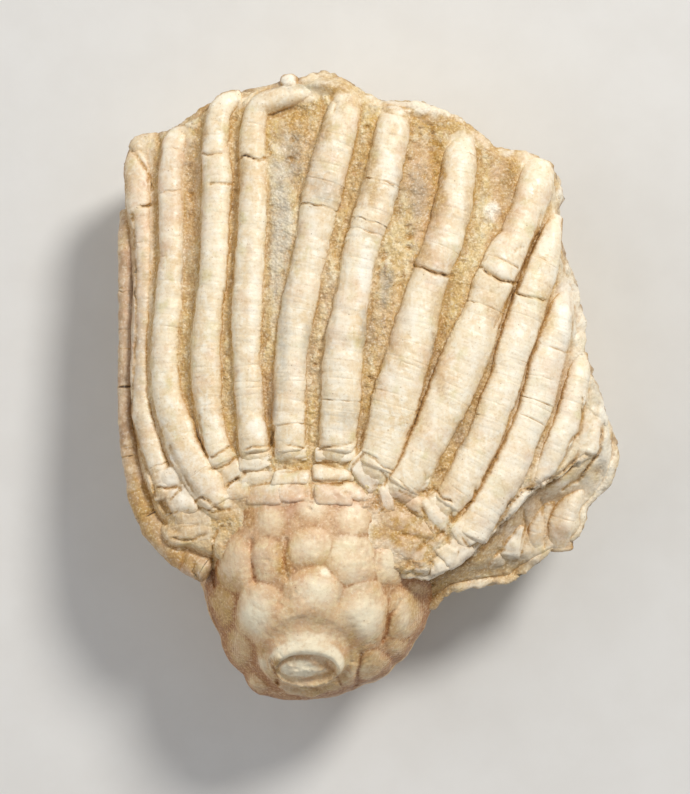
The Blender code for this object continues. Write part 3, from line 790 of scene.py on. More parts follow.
def prism(outline, top, slope=(0.0, 0.0)):
    """A block of stone over an outline, down to the base depth."""
    work = bmesh.new()
    foot = [work.verts.new((x, y, -BASE_DEPTH)) for x, y in outline]
    rim = [
        work.verts.new((x, y, top + slope[0] * (x - LEDGE_PIVOT[0]) + slope[1] * (y - LEDGE_PIVOT[1])))
        for x, y in outline
    ]
    for i in range(len(outline)):
        j = (i + 1) % len(outline)
        work.faces.new((foot[i], foot[j], rim[j], rim[i]))
    work.faces.new(rim)
    work.faces.new(foot[::-1])
    bmesh.ops.triangulate(work, faces=work.faces)
    bmesh.ops.recalc_face_normals(work, faces=work.faces)
    return object_from(work, "prism")


def dome():
    """The ellipsoid whose top is the crown's face."""
    work = bmesh.new()
    bmesh.ops.create_uvsphere(work, u_segments=128, v_segments=96, radius=1.0)
    bmesh.ops.scale(work, verts=work.verts, vec=Vector(FACE_RADII))
    bmesh.ops.translate(work, verts=work.verts, vec=Vector(FACE_CENTRE))
    return object_from(work, "dome")


def arrays(obj):
    """The points, face corners and normals of an object with its modifiers applied. It is then removed."""
    seen = obj.evaluated_get(bpy.context.evaluated_depsgraph_get())
    mesh = bpy.data.meshes.new_from_object(seen)
    points = np.empty(len(mesh.vertices) * 3)
    mesh.vertices.foreach_get("co", points)
    normals = np.empty(len(mesh.vertices) * 3)
    mesh.vertex_normals.foreach_get("vector", normals)
    faces = [list(p.vertices) for p in mesh.polygons]
    bpy.data.objects.remove(obj)
    bpy.data.meshes.remove(mesh)
    return points.reshape(-1, 3), faces, normals.reshape(-1, 3)


def remeshed(obj, grain):
    modifier = obj.modifiers.new("even_faces", "REMESH")
    modifier.mode = "VOXEL"
    modifier.voxel_size = grain
    return obj


def object_of(points, faces):
    mesh = bpy.data.meshes.new("part")
    mesh.from_pydata(points.tolist(), [], faces)
    return piece_object("part", mesh)


def leaned(points, middle, undercut):
    """The broken sides lean in towards the bottom and are lumpy, as in the CAD stone."""
    low = np.clip(1 - points[:, 2] / UNDERCUT_FROM, 0.0, 1.5)
    pull = 1 - undercut * low**2
    lumps = LUMP_HEIGHT * np.array([noise.noise_vector(Vector(p) / LUMP) for p in points])
    moved = points.copy()
    for k in (0, 1):
        moved[:, k] = middle[k] + (moved[:, k] - middle[k]) * pull
    return moved + lumps


BLOCK_GRAIN, BODY_GRAIN = 0.5, 0.32  # voxel sizes, before and after the slab and the ledge are fused
FACET, CHIP = 2.4, 0.95  # the broken stone's large and small cells
FACET_SQUEEZE, CHIP_SQUEEZE = (1, 1, 1.4), (1, 1, 1.7)
UNDER_CRUST = 1.1  # how far the body stays under the crusts that cover it


def make_matrix():
    """The slab and the ledge fused, with sides broken into small facets."""
    noise.seed_set(LUMP_SEED)
    slab = prism(SLAB_OUTLINE, SLAB_TOP)
    under = dome()
    trim = slab.modifiers.new("crown_face", "BOOLEAN")
    trim.operation = "INTERSECT"
    trim.object = under
    points, faces, _ = arrays(remeshed(slab, BLOCK_GRAIN))
    bpy.data.objects.remove(under)
    slab = Shape(leaned(points, SLAB_MIDDLE, SLAB_UNDERCUT), faces)
    points, faces, _ = arrays(remeshed(prism(LEDGE_OUTLINE, LEDGE_TOP, LEDGE_SLOPE), BLOCK_GRAIN))
    ledge = Shape(leaned(points, LEDGE_MIDDLE, LEDGE_UNDERCUT), faces)
    both = join([slab, ledge])
    points, faces, normals = arrays(remeshed(object_of(both.points, both.faces), BODY_GRAIN))
    inset = edge_distance(points[:, 0], points[:, 1], SLAB_OUTLINE)
    under_crust = ease(1.3, 2.4, inset) * (points[:, 2] > face_height(points[:, 0], points[:, 1]) - 2.5)
    on_ledge = ease(0.6, 1.4, edge_distance(points[:, 0], points[:, 1], LEDGE_OUTLINE)) * (inset < 0.3)
    on_ledge *= np.abs(points[:, 2] - ledge_height(points[:, 0], points[:, 1])) < 1.6
    under_crust = np.maximum(under_crust, on_ledge)
    points[:, 2] -= under_crust * UNDER_CRUST
    # Facets: each cell of broken stone has its own small tilt and step.
    first, second, which = cells(points * FACET_SQUEEZE, FACET, 3)
    tilt = (CELL_VALUES[which, :3] * (points / FACET - np.floor(points / FACET) - 0.5)).sum(1)
    step = CELL_VALUES[which, 3]
    push = 0.16 * tilt + 0.13 * step - 0.12 * np.exp(-(((second - first) / 0.10) ** 2))
    first, second, which = cells(points * CHIP_SQUEEZE, CHIP, 8)
    push += 0.07 * CELL_VALUES[which, 1] - 0.06 * np.exp(-(((second - first) / 0.12) ** 2))
    push += 0.08 * rough(points, 0.8, 3, 0.6, 2)
    push *= 1 - 0.8 * under_crust
    points = points + normals * push[:, None]
    points, faces = cut_flat(points, faces)
    first, second, _ = cells(points * CHIP_SQUEEZE, CHIP, 8)
    crack = np.exp(-(((second - first) / 0.08) ** 2))
    return Shape(points, faces, line=0.3 * crack, matrix=0.5 + 0.5 * wave(points, 2.5, 30))


def cut_flat(points, faces):
    """Cuts a closed shape off at the ground and closes it there with a flat face."""
    mesh = bpy.data.meshes.new("part")
    mesh.from_pydata(points.tolist(), [], faces)
    work = bmesh.new()
    work.from_mesh(mesh)
    bpy.data.meshes.remove(mesh)
    everything = work.verts[:] + work.edges[:] + work.faces[:]
    bmesh.ops.bisect_plane(work, geom=everything, dist=1e-5, plane_co=(0, 0, 0), plane_no=(0, 0, -1), clear_outer=True)
    bmesh.ops.holes_fill(work, edges=[e for e in work.edges if e.is_boundary], sides=0)
    bmesh.ops.triangulate(work, faces=[f for f in work.faces if len(f.verts) > 4])
    return taken(work)


def smooth_max(a, b, width):
    share = np.clip(0.5 + 0.5 * (a - b) / width, 0, 1)
    return b + (a - b) * share + width * share * (1 - share)


def arm_tops(x, y, lines):
    """The height of the nearest arm's surface at each place, its edge's distance, and how far out on it."""
    top = np.full(x.shape, -50.0)
    gap = np.full(x.shape, 9.0)
    out = np.full(x.shape, 9.0)
    for line in lines:
        dots = line[::3]
        low, high = dots[:, :2].min(0) - 3.5, dots[:, :2].max(0) + 3.5
        close = np.flatnonzero((x > low[0]) & (x < high[0]) & (y > low[1]) & (y < high[1]))
        for part in np.array_split(close, max(1, len(close) // 6000)):
            away = np.hypot(x[part, None] - dots[None, :, 0], y[part, None] - dots[None, :, 1])
            nearest = np.argmin(away - dots[None, :, 3], axis=1)
            away = away[np.arange(len(part)), nearest]
            middle, wide = dots[nearest, 2], dots[nearest, 3]
            share = away / wide
            arch = arm_height(wide) * np.sqrt(np.maximum(0.0, 1 - share**2)) - 1.3 * np.maximum(away - wide, 0)
            better = middle + arch > top[part]
            top[part] = np.where(better, middle + arch, top[part])
            out[part] = np.where(better, share, out[part])
            gap[part] = np.minimum(gap[part], away - wide)
    return top, gap, out


CRUST_STEP = 0.155
CRUST_INSET = 0.3
# Where the crust between the arms stands higher or lower: photo middle, half sizes, height.
CRUST_FORMS = (
    (289, 81, 8, 7, 0.8), (282, 250, 14, 110, 0.25), (300, 125, 26, 22, 0.15), (400, 230, 14, 60, -0.1),
    (385, 300, 12, 70, 0.1), (285, 112, 30, 8, -0.4), (330, 84, 26, 10, 0.35), (284, 84, 22, 9, 0.3),
    (425, 150, 12, 40, -0.35), (410, 106, 34, 8, 0.25), (500, 180, 12, 26, -0.3), (352, 190, 12, 50, -0.2),
    (268, 170, 8, 40, 0.1), (235, 200, 5, 90, -0.2), (192, 260, 8, 120, -0.2), (470, 120, 20, 14, 0.15),
    (158, 260, 5, 120, -0.3), (440, 300, 10, 60, -0.2), (495, 220, 10, 40, -0.2), (150, 138, 20, 8, -0.1),
    (560, 380, 10, 60, -0.5),
)


def spots(points, table, seed=0):
    """How strongly named spots of the picture reach each point, with uneven borders."""
    px, py = in_picture(points)
    total = np.zeros(len(points))
    ragged = 0.45 * rough(points, 1.4, 3, 0.6, seed)
    for x, y, rx, ry, strength in table:
        total = np.maximum(total, strength * ease(1.25, 0.35, spot_reach(px, py, x, y, rx, ry) + ragged))
    return total


def highest(px, py, table, low, high):
    """From 0 outside a table's spots to 1 within them."""
    total = np.zeros(len(px))
    for spot in table:
        total = np.maximum(total, ease(low, high, spot_reach(px, py, *spot)))
    return total


# Where the crust stands higher, to hold the plates between the arms and the cup: photo middle, half sizes.
PLATFORMS = ((290, 480, 90, 34), (380, 490, 60, 30), (192, 512, 50, 44), (445, 532, 44, 40), (405, 545, 50, 60))
PLATFORM_HEIGHT = 0.22
LEFT_FALL, RIGHT_FALL = 1.3, 1.0  # how far the crust drops at its rim, top left and right of the cup
LEFT_SIDE, LEFT_WIDER = -16, 1.035  # past this x, the crust's outline is wider than the slab's
LOW_LEFT, LOW_LEFT_PUSH = (-12, -7), (-0.6, -1.3)  # left of and below this place it is moved outward
SCREE_WIDTH, SCREE_HEIGHT = 2.4, 2.3  # the ledge's crust climbs the foot of the slab
CRUST_FLOOR, LEDGE_FLOOR = 9.0, 8.0  # where the crusts' flat undersides lie, inside the body


def make_crust(outline, surface, lines, blocks, floor, on_ledge):
    """The matrix round the arms and blocks: grainy and pitted. It fills the gaps and climbs their flanks."""
    seed = 3 if on_ledge else 0
    low, high = np.array(outline).min(0), np.array(outline).max(0)
    xs = np.arange(low[0], high[0], CRUST_STEP)
    ys = np.arange(low[1], high[1], CRUST_STEP)
    x, y = (v.ravel() for v in np.meshgrid(xs, ys))
    inset = edge_distance(x, y, outline)
    base = surface(x, y)
    flat = np.stack([x, y, base], -1)
    top, gap, out = arm_tops(x, y, lines)
    px, py = in_picture(flat)
    calm = highest(px, py, CALM, 1.2, 0.7)
    between = ease(-0.1, 0.4, gap) * (1 - 0.75 * calm) * ease(-0.5, 0.2, wave(flat * (1, 0.5, 1), 2.2, 33) + 0.15)
    height = 0.02 + 0.18 * rough(flat, 1.9, 2, 0.5, 1 + seed)
    grain_first, grain_second, grain = cells(flat, 0.62, 4)
    fine_first, _, fine = cells(flat, 0.33, 6)
    height += between * 0.16 * (0.55 - grain_first * 1.3 + 0.5 * CELL_VALUES[grain, 0])
    height += between * 0.10 * (0.5 - fine_first * 1.3 + 0.6 * CELL_VALUES[fine, 1])
    pits = ease(0.40, 0.7, wave(flat, 0.7, 12)) * between
    height -= 0.22 * pits
    for *spot, lift in CRUST_FORMS:
        height += lift * ease(1.3, 0.4, spot_reach(px, py, *spot))
    rim = ease(1.1, 0.4, inset) * ease(0, 8, y)
    cover = 0.24 + 0.13 * wave(flat, 1.5, 15 + seed) - 0.14 * ease(0.60, 1.0, out) + 0.06 * wave(flat, 0.4, 16)
    cover -= 0.38 * rim
    if on_ledge:
        height += SCREE_HEIGHT * ease(-SCREE_WIDTH, 0.2, edge_distance(x, y, SLAB_OUTLINE))
    else:
        left_edge = ease(2.0, 0.9, inset) * ease(-9, -13, x) * ease(21, 18, y)
        height += PLATFORM_HEIGHT * highest(px, py, PLATFORMS, 1.15, 0.75) * (1 - left_edge) - LEFT_FALL * left_edge
    z = smooth_max(base + height, top - cover, 0.32)
    for place, side, along, half, proud in blocks:
        near = np.flatnonzero(np.hypot(x - place[0], y - place[1]) < half.max() * 1.6 + 0.4)
        local = flat[near] - place
        u, v = local @ side / half[0], local @ along / half[1]
        reach = (np.abs(u) ** 5 + np.abs(v) ** 5) ** 0.2
        rise = base[near] + (proud - 0.16) * ease(1.25, 0.9, reach) - 1.5 * ease(1.1, 1.6, reach)
        z[near] = smooth_max(z[near], rise, 0.22)
    z += 0.04 * wave(flat, 0.3, 9) + 0.02 * wave(flat, 0.2, 19)
    z -= 0.75 * ease(CRUST_INSET + 0.6, CRUST_INSET, inset)
    z -= RIGHT_FALL * ease(2.4, 0.2, inset) * ease(5, 8, x) * ease(-8, -10, y) * (not on_ledge)
    points = np.stack([x + 0.03 * wave(flat, 0.3, 20), y + 0.03 * wave(flat, 0.3, 21), z], -1)
    columns = len(xs)
    i, j = np.meshgrid(np.arange(len(ys) - 1), np.arange(columns - 1), indexing="ij")
    corner = (i * columns + j).ravel()
    quads = np.stack([corner, corner + 1, corner + columns + 1, corner + columns], -1)
    quads = quads[(inset[quads] > CRUST_INSET).all(1)]
    climbing = ease(0.15, -0.25, gap)
    marks = {
        "matrix": np.clip(1 - 0.75 * climbing + 0.3 * wave(flat, 1.1, 17), 0, 1) * (1 - 0.5 * calm),
        "rust": 0.9 * np.exp(-(((gap - 0.02) / 0.16) ** 2)) * ease(-0.25, 0.5, wave(flat * (1, 0.6, 1), 1.6, 35)),
        "white": 0.45 * rim,
        "line": (0.7 * pits + 0.3 * np.exp(-(((grain_second - grain_first) / 0.12) ** 2))) * between,
    }
    return closed_sheet(points, quads, marks, floor)


WALL_LEAN = 2.4  # how far a sheet's walls lean inward, to stay inside the stone's undercut sides


def closed_sheet(points, quads, marks, floor):
    """A sheet of quads given walls down to a height, and a flat bottom there."""
    used = np.unique(quads)
    number = np.full(len(points), -1)
    number[used] = np.arange(len(used))
    quads = number[quads]
    middle = Vector(points[used, :2].mean(0))
    work = bmesh.new()
    verts = [work.verts.new(p) for p in points[used]]
    for quad in quads:
        work.faces.new([verts[i] for i in quad])
    rim = [e for e in work.edges if e.is_boundary]
    made = bmesh.ops.extrude_edge_only(work, edges=rim)["geom"]
    low = [v for v in made if isinstance(v, bmesh.types.BMVert)]
    for v in low:
        inward = middle - v.co.xy
        v.co.xy += inward * (WALL_LEAN / inward.length)
        v.co.z = floor
    loose = [e for e in work.edges if e.is_boundary]
    bmesh.ops.holes_fill(work, edges=loose, sides=0)
    bmesh.ops.triangulate(work, faces=[f for f in work.faces if len(f.verts) > 4])
    out, faces = taken(work)
    extra = len(out) - len(used)
    return Shape(out, faces, **{k: np.append(v[used], np.zeros(extra)) for k, v in marks.items()})


# ---- crevices and crests ----

MAP_STEP = 0.2
MAP_LOW = np.array((-25.0, -31.0))
MAP_SIZE = (250, 310)
NEAR, WIDE = 2, 6  # how many cells away the surroundings of a point reach
STEEP_DROP = 1.8  # points further under their wide surroundings than this are a side, not a hollow
CREVICE_MARGIN = 9  # pixels


def map_cells(points):
    """The cells of the height map that points fall in."""
    cell = ((points[:, :2] - MAP_LOW) / MAP_STEP).astype(int)
    return np.clip(cell[:, 0], 0, MAP_SIZE[0] - 1), np.clip(cell[:, 1], 0, MAP_SIZE[1] - 1)


def blurred(heights, radius):
    """A map's means over squares, taken twice."""
    size = 2 * radius + 1
    for axis in (0, 1):
        border = [(0, 0), (0, 0)]
        border[axis] = (radius + 1, radius)
        for _ in range(2):
            total = np.cumsum(np.pad(heights, border, mode="edge"), axis=axis)
            ahead = total[size:] if axis == 0 else total[:, size:]
            behind = total[:-size] if axis == 0 else total[:, :-size]
            heights = (ahead - behind) / size
    return heights


def height_map(shapes):
    """The stone's height seen from above. Cells that hold no point take their highest neighbour's."""
    heights = np.zeros(MAP_SIZE)
    for shape in shapes:
        np.maximum.at(heights, map_cells(shape.points), shape.points[:, 2])
    for _ in range(2):
        around = [np.roll(heights, (a, b), (0, 1)) for a in (-1, 0, 1) for b in (-1, 0, 1)]
        full = sum(h > 0 for h in around) >= 5
        heights = np.where((heights == 0) & full, np.max(around, axis=0), heights)
    return heights


def add_hollows(shapes):
    """Marks how far each point lies below its surroundings, near and wide, seen from above. The materials paint soil
    and shade into the hollows by it, and a highlight onto what stands above.
    """
    heights = height_map(shapes)
    filled = (heights > 0).astype(float)
    near, wide = (blurred(heights, r) / np.maximum(blurred(filled, r), 0.02) for r in (NEAR, WIDE))
    for shape in shapes:
        cell = map_cells(shape.points)
        z = shape.points[:, 2]
        shown = ease(1.6, 0.9, heights[cell] - z)
        low = np.where(wide[cell] - z > STEEP_DROP, 0.3, 1.0)
        shape.marks["hollow"] = low * shown * np.clip(1.1 * (near[cell] - z) + 0.8 * (wide[cell] - z), -2, 2)
        shape.marks["shown"] = shown


def carve(shapes):
    """Cuts the crevices into whatever shows there from above, and raises the swellings."""
    for shape in shapes:
        shown = shape.marks["shown"]
        seen = np.flatnonzero(shown > 0.01)
        points = shape.points[seen]
        px, py = in_picture(points)
        px, py = (
            p + 1.3 * wave(points, 0.9, seed) + 0.7 * wave(points, 0.4, seed + 1) for p, seed in ((px, 50), (py, 52))
        )
        lift = np.zeros(len(seen))
        dark = np.zeros(len(seen))
        uneven = np.clip(1 + 0.7 * wave(points, 1.3, 54), 0.35, 1.3)
        for *route, width, depth, darkness in CREVICES:
            xs, ys = zip(*route)
            beside = (px > min(xs) - CREVICE_MARGIN) & (px < max(xs) + CREVICE_MARGIN)
            near = np.flatnonzero(beside & (py > min(ys) - CREVICE_MARGIN) & (py < max(ys) + CREVICE_MARGIN))
            cut = np.exp(-((line_distance(px[near], py[near], route) / width) ** 2)) * uneven[near]
            lift[near] = np.minimum(lift[near], -depth * cut)
            dark[near] = np.maximum(dark[near], darkness * cut)
        for x, y, rx, ry, turn, height in SWELLS:
            angle = math.radians(turn)
            dx, dy = px - x, y - py
            across, along = dx * math.cos(angle) + dy * math.sin(angle), dy * math.cos(angle) - dx * math.sin(angle)
            lift += height * ease(1.0, 0.0, np.hypot(across / rx, along / ry))
        shape.points[seen, 2] += lift * shown[seen]
        line = shape.marks.get("line", np.zeros(len(shape.points)))
        line[seen] = np.maximum(line[seen], dark * shown[seen])
        shape.marks["line"] = line


# The stains of each colour, and the pale spots that are partly painted highlight: photo middle, half sizes, strength.
SPOTS = {
    "rust": (
        (140, 520, 24, 60, 0.9), (408, 534, 38, 30, 0.9), (175, 560, 30, 16, 0.8), (136, 440, 8, 60, 0.4),
        (165, 535, 40, 26, 0.6), (150, 515, 22, 34, 0.8), (430, 582, 22, 20, 0.8), (405, 566, 16, 12, 0.5),
        (284, 562, 7, 24, 0.9), (230, 590, 16, 18, 0.6), (414, 600, 8, 36, 0.7), (325, 690, 20, 14, 0.5),
        (352, 640, 5, 16, 0.5), (438, 170, 10, 60, 0.9), (508, 185, 12, 46, 0.6), (470, 215, 8, 50, 0.5),
        (372, 160, 8, 60, 0.7), (300, 118, 24, 22, 0.6), (400, 300, 10, 80, 0.35), (450, 125, 60, 14, 0.85),
        (400, 106, 30, 6, 0.8), (500, 152, 24, 12, 0.9), (345, 88, 16, 8, 0.9), (216, 600, 10, 44, 1.0),
        (226, 630, 10, 40, 0.9), (520, 572, 44, 9, 0.6), (150, 515, 24, 36, 0.5), (400, 525, 34, 22, 0.6),
        (425, 560, 16, 30, 0.6), (470, 560, 20, 12, 0.6), (195, 535, 40, 30, 0.4), (325, 125, 6, 20, 0.7),
        (155, 180, 4, 40, 0.5), (190, 548, 44, 24, 0.50), (214, 513, 18, 10, 0.7), (163, 520, 10, 26, 0.6),
        (145, 500, 14, 50, 0.25), (402, 522, 30, 20, 0.65), (428, 560, 18, 34, 0.45), (420, 545, 20, 12, 0.5),
        (221, 608, 12, 46, 0.85), (243, 640, 12, 26, 0.4), (249, 515, 7, 16, 0.7), (245, 500, 20, 10, 0.3),
        (392, 630, 9, 34, 0.5), (440, 330, 9, 70, 0.45), (425, 400, 8, 40, 0.4), (478, 400, 8, 40, 0.35),
        (495, 300, 10, 40, 0.4), (360, 655, 14, 12, 0.6), (376, 668, 14, 14, 0.5), (276, 679, 6, 10, 0.8),
        (334, 676, 12, 14, 0.55), (446, 470, 10, 24, 0.5), (520, 485, 20, 10, 0.4), (590, 470, 24, 12, 0.35),
        (505, 570, 50, 12, 0.45), (360, 100, 14, 12, 0.6), (445, 120, 34, 8, 0.5), (480, 160, 10, 40, 0.45),
        (345, 120, 8, 30, 0.4), (300, 122, 20, 16, 0.8), (437, 150, 11, 18, 1.0), (512, 165, 12, 12, 1.0),
        (370, 150, 6, 34, 0.8), (320, 110, 8, 14, 0.7), (285, 560, 9, 20, 0.9), (275, 668, 6, 14, 1.0),
        (212, 596, 9, 30, 0.8), (330, 84, 14, 8, 0.7), (262, 92, 14, 6, 0.5), (400, 105, 26, 4, 0.6),
        (437, 535, 14, 8, 0.7), (228, 620, 12, 50, 0.7), (440, 600, 14, 12, 0.8), (450, 518, 7, 8, 0.8),
        (480, 545, 16, 8, 0.8), (150, 530, 26, 14, 0.5), (425, 255, 10, 12, 0.6), (462, 290, 14, 22, 0.6),
        (548, 310, 9, 30, 0.7), (441, 385, 8, 12, 0.6), (540, 485, 20, 8, 0.7), (258, 650, 12, 8, 0.6),
        (395, 640, 22, 14, 0.45), (128, 190, 5, 30, 0.5), (130, 225, 7, 20, 0.6), (240, 170, 6, 30, 0.6),
        (202, 130, 6, 16, 0.6), (432, 590, 20, 10, 0.7), (205, 108, 8, 8, 0.7), (300, 470, 14, 4, 0.5),
        (335, 465, 16, 4, 0.7), (455, 575, 26, 10, 0.5), (400, 528, 20, 8, 0.4),
    ),
    "grey": (
        (515, 564, 44, 11, 0.7), (300, 690, 50, 10, 0.3), (400, 190, 8, 30, 0.4), (420, 190, 8, 30, 0.5),
        (282, 240, 12, 70, 0.7), (190, 265, 10, 40, 0.5), (388, 280, 9, 24, 0.8), (368, 335, 9, 22, 0.7),
        (310, 345, 8, 24, 0.6), (435, 350, 6, 24, 0.6), (460, 435, 8, 14, 0.8), (325, 195, 14, 22, 0.5),
        (290, 165, 14, 40, 0.5), (272, 405, 6, 20, 0.7), (570, 300, 12, 60, 0.5), (350, 415, 12, 20, 0.4),
        (510, 185, 8, 18, 0.7), (438, 120, 16, 8, 0.5), (190, 170, 8, 26, 0.5), (415, 190, 8, 24, 0.5),
        (300, 85, 40, 6, 0.5), (138, 340, 12, 110, 0.4), (278, 210, 10, 60, 0.6), (284, 330, 6, 60, 0.5),
        (350, 585, 26, 14, 0.35), (600, 390, 14, 24, 0.5), (545, 450, 12, 18, 0.5),
    ),
    # Pale fossil and fresh breaks, and painted highlight: the brighter light on the right-hand arms and the glints.
    "white": (
        (562, 345, 14, 70, 0.5), (556, 300, 10, 40, 0.4), (355, 545, 34, 22, 0.5), (284, 541, 4, 8, 0.8),
        (324, 572, 6, 6, 0.9), (360, 520, 30, 14, 0.4), (395, 556, 16, 20, 0.4), (288, 82, 12, 9, 0.9),
        (320, 660, 14, 6, 0.5), (282, 240, 14, 110, 0.35), (299, 668, 24, 11, 0.9), (585, 330, 30, 160, 0.4),
        (560, 430, 40, 60, 0.3), (500, 460, 30, 60, 0.3), (320, 300, 20, 100, 0.25), (480, 480, 30, 30, 0.3),
        (605, 460, 12, 50, 0.7), (565, 200, 8, 60, 0.8), (255, 300, 8, 60, 0.6), (365, 270, 9, 34, 1.0),
        (410, 320, 14, 14, 0.7), (565, 320, 9, 28, 1.0), (462, 160, 7, 60, 0.4), (390, 175, 10, 22, 0.6),
        (395, 380, 14, 14, 0.6), (315, 235, 6, 30, 0.6), (500, 270, 12, 8, 0.6), (440, 280, 8, 8, 0.8),
        (605, 412, 8, 12, 1.0), (572, 395, 10, 16, 0.5), (312, 640, 30, 9, 0.7), (255, 430, 10, 12, 0.7),
        (493, 211, 9, 9, 1.0), (470, 365, 10, 24, 0.5), (337, 430, 12, 8, 0.6), (172, 480, 10, 8, 0.7),
        (183, 498, 10, 10, 0.9), (172, 458, 4, 4, 1.0), (510, 540, 10, 16, 0.9), (260, 664, 8, 7, 0.5),
        (430, 395, 20, 30, 0.3), (222, 168, 10, 10, 0.5), (295, 668, 16, 6, 0.6), (585, 500, 20, 36, 0.4),
        (548, 240, 10, 16, 0.5), (530, 400, 60, 110, 0.45), (300, 370, 14, 60, 0.35), (342, 350, 14, 60, 0.35),
        (572, 300, 14, 50, 0.7),
    ),
    "pink": (
        (300, 498, 84, 14, 1.0), (390, 505, 40, 18, 1.0), (405, 540, 40, 36, 0.9), (425, 200, 26, 80, 0.8),
        (505, 190, 20, 60, 0.8), (300, 150, 26, 40, 0.5), (192, 200, 12, 70, 0.7), (268, 400, 10, 40, 0.6),
        (385, 320, 20, 50, 0.5), (530, 520, 60, 60, 0.3), (560, 375, 14, 30, 0.8), (310, 610, 130, 60, 0.5),
        (300, 530, 90, 40, 0.5), (170, 500, 60, 60, 0.3), (145, 220, 26, 90, 0.5), (240, 560, 40, 40, 0.6),
        (134, 300, 14, 130, 0.8), (185, 180, 30, 60, 0.5), (390, 620, 40, 40, 0.4),
    ),
}


def add_stains(shapes):
    """Marks the stains, and the pale spots that are partly painted highlight, which add to each shape's own marks. Bare
    places and the edge arms take little of the hollows' soil and painted shade.
    """
    for shape in shapes:
        shown = shape.marks["shown"]
        shape.marks["hollow"] *= 1 - shape.marks.get("bare", 0.0)
        if shape.edge_on:
            shape.marks["hollow"] *= 0.15
            shape.marks["pink"] = np.full(len(shown), 0.3)
        if "white" in shape.marks:
            shape.marks["white"] *= 0.8
        for seed, (mark, table) in enumerate(SPOTS.items(), 1):
            stained = shown * spots(shape.points, table, seed)
            shape.marks[mark] = np.maximum(shape.marks.get(mark, 0.0), stained)


# ---- materials ----

def linear(red, green, blue):
    """A colour given as screen values from 0 to 255."""
    return (*(((v / 255 + 0.055) / 1.055) ** 2.4 if v > 10 else v / 255 / 12.92 for v in (red, green, blue)), 1.0)


class Nodes:
    """Short names for the nodes that a stone material is built from."""

    def __init__(self, name):
        self.material = bpy.data.materials.new(name)
        self.material.use_nodes = True
        self.tree = self.material.node_tree
        self.shader = self.tree.nodes["Principled BSDF"]
        place = self.tree.nodes.new("ShaderNodeTexCoord")
        scale = self.tree.nodes.new("ShaderNodeVectorMath")
        scale.operation = "SCALE"
        scale.inputs["Scale"].default_value = 1 / MM
        self.tree.links.new(place.outputs["Object"], scale.inputs[0])
        self.place = scale.outputs[0]

    def put(self, socket, value):
        """Links another node's output to a socket, or sets a plain value."""
        if isinstance(value, bpy.types.NodeSocket):
            self.tree.links.new(value, socket)
        else:
            socket.default_value = value

    def noise(self, size, detail=3.0, roughness=0.55, distortion=0.0, squeeze=None):
        node = self.tree.nodes.new("ShaderNodeTexNoise")
        place = self.place
        if squeeze:
            scale = self.tree.nodes.new("ShaderNodeVectorMath")
            scale.operation = "MULTIPLY"
            self.put(scale.inputs[0], place)
            scale.inputs[1].default_value = squeeze
            place = scale.outputs[0]
        self.put(node.inputs["Vector"], place)
        self.put(node.inputs["Scale"], 1 / size)
        self.put(node.inputs["Detail"], detail)
        self.put(node.inputs["Roughness"], roughness)
        self.put(node.inputs["Distortion"], distortion)
        return node.outputs["Fac"]

    def grains(self, size, output="Distance"):
        node = self.tree.nodes.new("ShaderNodeTexVoronoi")
        self.put(node.inputs["Vector"], self.place)
        self.put(node.inputs["Scale"], 1 / size)
        return node.outputs[output]

    def mark(self, name):
        node = self.tree.nodes.new("ShaderNodeAttribute")
        node.attribute_name = name
        return node.outputs["Fac"]

    def sum(self, operation, a, b, clamp=False):
        node = self.tree.nodes.new("ShaderNodeMath")
        node.operation = operation
        node.use_clamp = clamp
        self.put(node.inputs[0], a)
        self.put(node.inputs[1], b)
        return node.outputs[0]

    def span(self, value, low, high, to_low=0.0, to_high=1.0):
        node = self.tree.nodes.new("ShaderNodeMapRange")
        node.interpolation_type = "SMOOTHSTEP"
        for key, number in (("From Min", low), ("From Max", high), ("To Min", to_low), ("To Max", to_high)):
            node.inputs[key].default_value = number
        self.put(node.inputs["Value"], value)
        return node.outputs["Result"]

    def mix(self, factor, a, b):
        node = self.tree.nodes.new("ShaderNodeMix")
        node.data_type = "RGBA"
        self.put(node.inputs["Factor"], factor)
        self.put(node.inputs["A"], a)
        self.put(node.inputs["B"], b)
        return node.outputs["Result"]

    def over(self, colour, tone, value, low, high, most=1.0, least=0.0):
        """A tone over a colour, from the least to the most of it as the value goes from low to high."""
        return self.mix(self.span(value, low, high, least, most), colour, tone)

    def share(self, mark, value, low, high, least, most):
        """A mark, patchy by a value."""
        return self.sum("MULTIPLY", self.mark(mark), self.span(value, low, high, least, most))

    def bump(self, height, strength, distance, onto=None):
        node = self.tree.nodes.new("ShaderNodeBump")
        self.put(node.inputs["Height"], height)
        node.inputs["Strength"].default_value = strength
        node.inputs["Distance"].default_value = distance * MM
        if onto is not None:
            self.put(node.inputs["Normal"], onto)
        return node.outputs["Normal"]


CREAM, CREAM_LIGHT, CREAM_DEEP = linear(246, 230, 199), linear(253, 245, 224), linear(231, 205, 163)
PINKISH, OLIVE = linear(218, 178, 146), linear(206, 194, 130)
WHITE, GREY = linear(252, 245, 228), linear(160, 150, 132)
ARM_TONES = (CREAM_DEEP, CREAM, CREAM_LIGHT)
CUP_TONES = (linear(208, 164, 112), linear(230, 196, 148), linear(246, 224, 176))
OCHRE, OCHRE_DEEP, BROWN, DARK = linear(200, 158, 86), linear(172, 124, 60), linear(122, 82, 44), linear(66, 44, 26)
RUST, RUST_DEEP = linear(207, 163, 68), linear(175, 127, 50)
MATRIX, MATRIX_PALE = linear(214, 186, 128), linear(238, 221, 176)
MATRIX_LIGHT, MATRIX_DARK, MATRIX_DEEP = linear(248, 238, 210), linear(146, 112, 70), linear(166, 124, 76)
TAN, OCHRE_LIGHT = linear(202, 162, 122), linear(212, 180, 98)
